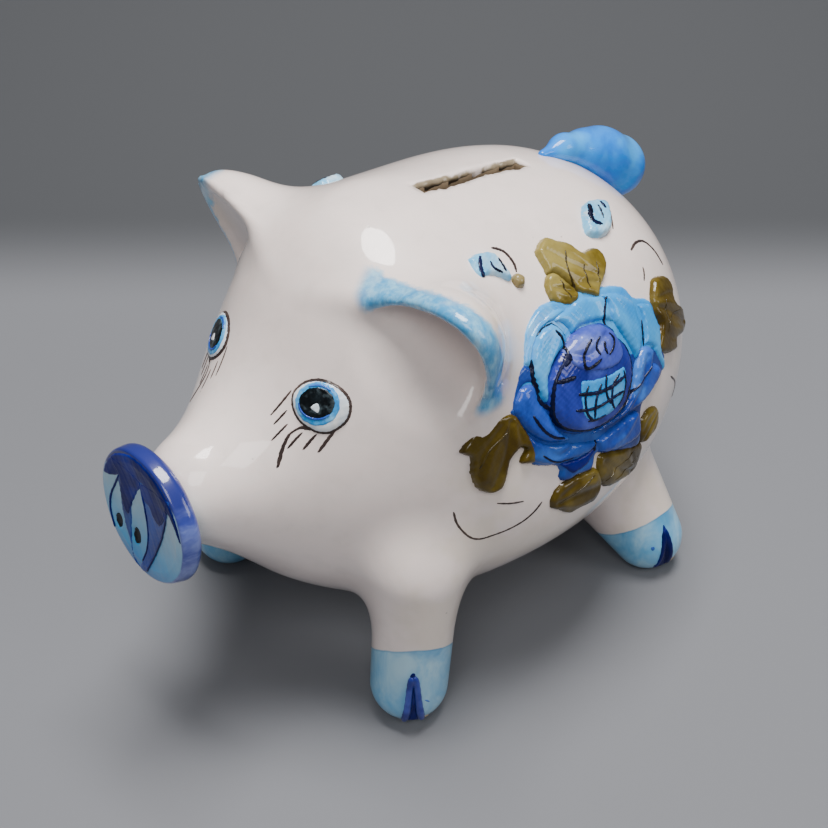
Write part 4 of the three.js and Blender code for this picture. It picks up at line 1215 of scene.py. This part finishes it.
def m_disc():
    k = Mat("snout_disc_glaze")
    x, y, z = k.mm()
    v = k.math("SUBTRACT", z, DC[2] + 0.3)
    r = k.math("SQRT", k.math("ADD", k.math("MULTIPLY", x, x), k.math("MULTIPLY", v, v)))
    ang = k.noise(1.0, 4, 0.65, 0.3, k.stretched(85, 85, 85))
    n = k.math("MULTIPLY", k.math("SUBTRACT", k.noise(210, 4), 0.5), 2.2)
    # light face, deepening to blue at the bottom
    t = k.math("ADD", k.math("MULTIPLY", v, -1.0), k.math("MULTIPLY", k.math("SUBTRACT", ang, 0.5), 14.0))
    face = k.mix(k.step(t, -6, 10), srgb("a5cde2"), srgb("459fd2"))
    face = k.mix(k.step(k.math("ADD", k.math("MULTIPLY", v, -1.0), k.math("MULTIPLY", k.math("SUBTRACT", ang, 0.5), 8.0)), 8, 16), face, srgb("1f78bc"))
    rim = k.mix(k.step(k.noise(1.0, 4, 0.7, 0.4, k.stretched(140, 60, 140)), 0.35, 0.65), srgb("38459c"), srgb("7484c4"))
    rim = k.mix(k.step(k.noise(90, 3), 0.5, 0.7, 0, 0.6), rim, srgb("5866b2"))
    top = k.step(k.math("ADD", v, k.math("MULTIPLY", k.math("SUBTRACT", ang, 0.5), 10.0)), 6, 11)
    rim = k.mix(top, rim, srgb("232c78"))
    face = k.mix(k.step(k.math("ADD", v, k.math("MULTIPLY", x, -0.06)), 7.5, 9.5), face, srgb("141e66"))
    # the side wall and its sharp front edge are violet
    xs = k.math("ADD", x, 0.75)
    rs = k.math("SQRT", k.math("ADD", k.math("MULTIPLY", xs, xs), k.math("MULTIPLY", v, v)))
    m = k.step(k.math("ADD", rs, k.math("MULTIPLY", n, 0.25)), 15.9, 16.4)
    col = k.mix(m, face, rim)
    # dark inside the nostrils
    for u, w_, a, b in NOS:
        q = k.math("ADD", k.math("POWER", k.math("DIVIDE", k.math("SUBTRACT", x, u), a), 2.0), k.math("POWER", k.math("DIVIDE", k.math("SUBTRACT", z, DC[2] + 0.3 + w_), b), 2.0))
        col = k.mix(k.step(q, 1.3, 0.9), col, srgb("202329"))
    k.color(col)
    k.bump(k.math("ADD", k.math("MULTIPLY", ang, 0.6), k.math("MULTIPLY", k.noise(300, 3), 0.25)), 0.3, 0.0004)
    k.glaze(0.32, 0.9, 0.05)
    return k.m


P_, F_ = disc_mesh()
o = mesh_obj("p_snout_disc", P_, F_, m_disc())
bm_ = None
finish_piece(o, nodes=["snout_disc"])


class DiscFace:
    def at(self, A):
        A = np.asarray(A, float)
        B = (A - arr([-0.75, 0])) / 0.945
        return DC + A[:, :1] * DU + A[:, 1:2] * DV + (face_z(B) + nostril(A))[:, None] * DN, np.tile(DN, (len(A), 1))


DF = DiscFace()


def inside_disc(Q, r=15.9):
    Q = arr(Q) - arr([-0.75, 0])
    n_ = np.linalg.norm(Q, axis=1)
    return Q * np.minimum(1, r / np.maximum(n_, 1e-6))[:, None] + arr([-0.75, 0])


CAP = [(-15.9, 4.5), (-12.6, 5.2), (-9.8, 6.7), (-6, 7.6), (-1.4, 9.8), (3.5, 9.6), (9.9, 8.3), (12.6, 5.6), (15.5, 2.5), (15.5, 9), (12, 14), (6, 17), (0, 18.5), (-6, 17), (-12, 13), (-15.5, 8.5)]
DISC["cap"] = CAP


for nm, key, mt, h in (("disc_band_a", "bandA", COBALT_D, 0.2), ("disc_band_b", "bandB", COBALT, 0.2), ("disc_cap", "cap", NAVY, 0.26), ("disc_wedge_a", "wedgeA", NAVY, 0.28), ("disc_wedge_b", "wedgeB", NAVY, 0.3)):
    P_, F_ = grid_solid(DF, Relief(inside_disc(DISC[key]), h, 0.4, ripple=0.02), step=0.3, sink=0.3)
    o = mesh_obj("p_" + nm, P_, F_, mt)
    finish_piece(o)
for nm, (u_, v_, a_, b_) in zip(("nostril_a", "nostril_b"), NOS):
    q = [(u_ + a_ * 1.06 * math.cos(t), v_ + b_ * 1.06 * math.sin(t)) for t in np.linspace(0, 2 * math.pi, 17)[:-1]]
    P_, F_ = grid_solid(DF, Relief(q, 0.32, 0.25, ripple=0.0), step=0.12, sink=0.3)
    finish_piece(mesh_obj("p_" + nm, P_, F_, NOSTRIL))
LINES = [
    [(-9.8, 6.9), (-11.9, 2.9), (-13.9, -1.6), (-14.1, -6.2), (-13.0, -10.4)],
    [(11.4, 12.9), (9.6, 8.3), (7.7, 4.2), (5.5, 1.3)],
    [(9.9, 8.5), (8.6, 4.4), (6.4, -2.0), (3.3, -9.2), (0.4, -15.5)],
    [(-1.4, 9.9), (-0.7, 5.0), (0.2, 0.0), (0.6, -4.1), (0.2, -8.9), (-1.4, -13.4)],
]
P_, F_ = join_parts([ribbon(DF, inside_disc(q), 0.5, base=0.18, up=0.12, down=0.35) for q in LINES])
finish_piece(mesh_obj("p_disc_line_work", P_, F_, NAVY))


# ---------------------------------------------------------------------------
# Hooves: raised ridges either side of the cleft, and chipped glaze
# ---------------------------------------------------------------------------
def front_leg(p):
    return smin(legs(p)[0], core(p), 11.5)


def rear_leg(p):
    return smin(legs(p)[1], core(p), 8.0)


class Foot:
    def __init__(self, foot, deg, f):
        self.c, self.a, self.f = foot, math.radians(deg), f

    def at(self, A):
        A = np.asarray(A, float)
        t = self.a + A[:, 0] / 10.3
        o = np.stack([0 * t + self.c[0], 0 * t + self.c[1], A[:, 1]], 1)
        d = np.stack([np.cos(t), np.sin(t), 0 * t], 1)
        s = hit(o, d, self.f, 2.0, 22.0)
        P = o + s[:, None] * d
        return P, grad(P, self.f)


for nm, ch, top, wd in (("front", Foot(FOOT_F, -37, front_leg), 23.0, 3.4), ("rear", Foot(FOOT_R, -18, rear_leg), 18.3, 3.0)):
    wedge = [(0, top + 0.3), (-0.9, top - 1.6), (-wd * 0.62, top * 0.5), (-wd, 3.4), (0, 2.8), (wd, 3.4), (wd * 0.62, top * 0.5), (0.9, top - 1.6)]
    hb, hu = (0.25, 0.55) if nm == "front" else (0.06, 0.26)
    P_, F_ = grid_solid(ch, Relief(wedge, hb + 0.03, 0.5, ripple=0.0), step=0.22, sink=0.5)
    two_sided("hoof_groove_" + nm, P_, F_, NAVY)
    a = [(0.35, top - 0.8), (0.85, top * 0.78), (1.35, top * 0.52), (wd * 0.6, top * 0.28), (wd * 0.74, 4.2)]
    b = [(-0.35, top - 1.0), (-0.85, top * 0.76), (-1.35, top * 0.5), (-wd * 0.62, top * 0.28), (-wd * 0.76, 4.0)]
    P_, F_ = join_parts([ribbon(ch, q, 1.9, base=hb, up=hu, down=0.9, taper=0.7, n=9, rag=0.05) for q in (a, b)])
    two_sided("hoof_ridges_" + nm, P_, F_, VIOLET if nm == "front" else NAVY)
    if nm == "front":
        q = [(3.1, 12.6), (4.3, 11.3)]
        P_, F_ = ribbon(ch, q, 0.45, base=0.0, up=0.1, down=0.3)
        two_sided("hoof_dash", P_, F_, COBALT)
        chip = [(3.4 + 1.5 * math.cos(t) * (1 + 0.2 * math.sin(3 * t)), 3.6 + 1.3 * math.sin(t) * (1 + 0.25 * math.cos(2 * t))) for t in np.linspace(0, 2 * math.pi, 12)[:-1]]
    else:
        chip = [(3.6 + 1.6 * math.cos(t) * (1 + 0.2 * math.sin(3 * t)), 4.2 + 1.8 * math.sin(t) * (1 + 0.25 * math.cos(2 * t))) for t in np.linspace(0, 2 * math.pi, 12)[:-1]]
        dot = [(-4.6 + 0.6 * math.cos(t), 12.6 + 0.6 * math.sin(t)) for t in np.linspace(0, 2 * math.pi, 9)[:-1]]
        P_, F_ = grid_solid(ch, Relief(dot, 0.12, 0.3, ripple=0), step=0.12, sink=0.3)
        two_sided("hoof_dot", P_, F_, COBALT)
    P_, F_ = grid_solid(ch, Relief(chip, 0.16, 0.3, ripple=0.06), step=0.2, sink=0.4)
    o = two_sided("hoof_chip_" + nm, P_, F_, CLAY, sides=(1,))

# ---------------------------------------------------------------------------
# Tail
# ---------------------------------------------------------------------------
TP = [((0, 88.5, 116.0), (0, 97, 115.0), 1.4, 3.0), ((0, 97, 115.0), (0, 105.5, 111.5), 3.0, 5.0), ((0, 105.5, 111.5), (0, 113, 107.5), 5.0, 7.2), ((0, 113, 107.5), (0, 120.5, 102.2), 7.2, 9.0)]


def tail(p):
    d = None
    for a, b, ra, rb in TP:
        e = rcone(p, a, b, ra, rb)
        d = e if d is None else smin(d, e, 5)
    return d + 0.12 * wob(p, 0.25) + 0.12


TV, TF = nets(tail, (-10.5, 84, 90), (10.5, 131.5, 119.5), 0.62)
p = TV[TF]
nn = np.cross(p[:, 1] - p[:, 0], p[:, 2] - p[:, 0])
if np.einsum("ij,ij->i", nn[::20], grad(TV[TF[::20]].mean(1), tail)).mean() < 0:
    TF = TF[:, ::-1]
o = mesh_obj("p_tail", TV, TF.tolist(), TAIL)
finish_piece(o, nodes=["tail"])

# ---------------------------------------------------------------------------
# Belly stopper
# ---------------------------------------------------------------------------
HU = arr([1.0, 0, 0])
HV = np.cross(HOLE_N, HU)


def lathe(prof, na=120):
    P, F = [], []
    for r_, t_ in prof:
        for j in range(na):
            a = 2 * math.pi * j / na
            P.append(HOLE_C + HOLE_N * t_ + (HU * math.cos(a) + HV * math.sin(a)) * r_)
    m = len(prof)
    for i in range(m - 1):
        for j in range(na):
            a, b = i * na + j, i * na + (j + 1) % na
            F.append([a, b, b + na, a + na])
    P.append(HOLE_C + HOLE_N * prof[0][1])
    P.append(HOLE_C + HOLE_N * prof[-1][1])
    for j in range(na):
        F.append([len(P) - 2, (j + 1) % na, j])
        F.append([len(P) - 1, (m - 1) * na + j, (m - 1) * na + (j + 1) % na])
    return arr(P), F


def m_rubber():
    k = Mat("stopper_rubber")
    c = k.mix(k.noise(120, 4, 0.6), srgb("c9c4bb"), srgb("dedad2"))
    c = k.mix(k.step(k.noise(400, 3, 0.7), 0.6, 0.72, 0, 0.4), c, srgb("a19a8e"))
    k.color(c)
    k.b.inputs["Roughness"].default_value = 0.55
    k.b.inputs["Specular IOR Level"].default_value = 0.35
    k.bump(k.noise(900, 3, 0.6), 0.25, 0.0002)
    return k.m


lo_, hi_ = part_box("belly_stopper")
print("stopper box", [round(v * 1000, 2) for v in lo_], [round(v * 1000, 2) for v in hi_])
PROF = [
    (11.25, -7.2), (11.7, -7.05), (11.95, -6.7), (12.05, -6.4), (12.25, -4.5), (12.3, -3.6), (12.0, -3.2), (12.0, -2.4), (12.4, -2.0), (12.6, 0.2), (12.65, 0.6),
    (15.4, 0.6), (15.7, 0.85), (15.8, 1.3), (15.78, 2.3), (15.55, 2.75), (15.1, 3.0), (13.2, 3.0), (12.9, 2.8), (12.5, 2.6), (9.0, 2.55), (8.6, 2.6), (8.35, 2.85), (8.0, 2.98), (7.2, 2.98), (6.9, 2.8), (6.6, 2.5), (3.0, 2.45)
]
P_, F_ = lathe(PROF)
o = mesh_obj("p_belly_stopper", P_, F_, m_rubber())
p = P_[arr([f[:3] for f in F_]).astype(int)]
finish_piece(o, body="stopper", nodes=["belly_stopper"])


# ---------------------------------------------------------------------------
# Floor, light and camera
# ---------------------------------------------------------------------------
def stage_mesh():
    # floor that sweeps up into the backdrop behind the pig, as seen from the camera
    az = math.radians(46.5)
    f = np.array([-math.sin(az), math.cos(az)])
    r = np.array([math.cos(az), math.sin(az)])
    prof = [(-1.2, 0.0), (0.15, 0.0)]
    for i in range(1, 25):
        a = math.radians(90 * i / 24)
        prof.append((0.15 + 0.26 * math.sin(a), 0.26 * (1 - math.cos(a))))
    prof.append((0.41, 2.4))
    P, F = [], []
    for s, z in prof:
        for w in (-2.2, 2.2):
            q = f * s + r * w
            P.append((q[0], q[1], z))
    for i in range(len(prof) - 1):
        F.append([2 * i, 2 * i + 1, 2 * i + 3, 2 * i + 2])
    return P, F


P_, F_ = stage_mesh()
fm_ = Mat("backdrop")
fx, fy, fz = fm_.mm()
fs = fm_.math("ADD", fm_.math("MULTIPLY", fx, -math.sin(math.radians(46.5))), fm_.math("MULTIPLY", fy, math.cos(math.radians(46.5))))
pale = fm_.mix(fm_.noise(3, 3, 0.5), srgb("75777b"), srgb("797b80"))
# painted shade: the backdrop is coloured darker than the floor, and darkest low down where it curves up
far = fm_.mix(fm_.step(fz, 60, 400), srgb("4a4c4f"), srgb("585a5e"))
fm_.color(fm_.mix(fm_.step(fs, 138, 205), pale, far))
fm_.b.inputs["Roughness"].default_value = 0.75
fm_.b.inputs["Specular IOR Level"].default_value = 0.15
floor = mesh_obj("studio_floor", P_, F_, fm_.m, raw=True)

sc = bpy.context.scene
w = bpy.data.worlds.new("studio") if sc.world is None else sc.world
sc.world = w
w.use_nodes = True
bg = w.node_tree.nodes["Background"]
bg.inputs[0].default_value = (0.83, 0.86, 0.92, 1)
bg.inputs[1].default_value = 0.17


def area(name, loc, target, size, power, col=(1, 1, 1), sy=None):
    l = bpy.data.lights.new(name, "AREA")
    l.shape = "RECTANGLE"
    l.size = size
    l.size_y = sy or size
    l.energy = power
    l.color = col
    o = bpy.data.objects.new(name, l)
    sc.collection.objects.link(o)
    o.location = loc
    o.rotation_euler = (Vector(target) - Vector(loc)).to_track_quat("-Z", "Y").to_euler()
    return o


T0 = (0, 0, 0.06)
area("key", (-0.02, 0.06, 0.95), T0, 0.40, 14.5, (1.0, 0.975, 0.96))
area("fill", (0.40, -0.52, 0.85), T0, 0.42, 3.4, (1.0, 0.985, 0.975))
area("side", (0.72, 0.32, 0.50), T0, 0.35, 1.8, (1.0, 0.99, 0.98))

cam = bpy.data.cameras.new("cam")
cam.sensor_width = 36
cam.lens = 51.72
cam.clip_start = 0.01
co = bpy.data.objects.new("cam", cam)
sc.collection.objects.link(co)
co.location = (0.18737, -0.17798, 0.2555)
co.rotation_euler = (math.radians(90 - 37.94), 0, math.radians(46.5))
sc.camera = co
cam.dof.use_dof = False
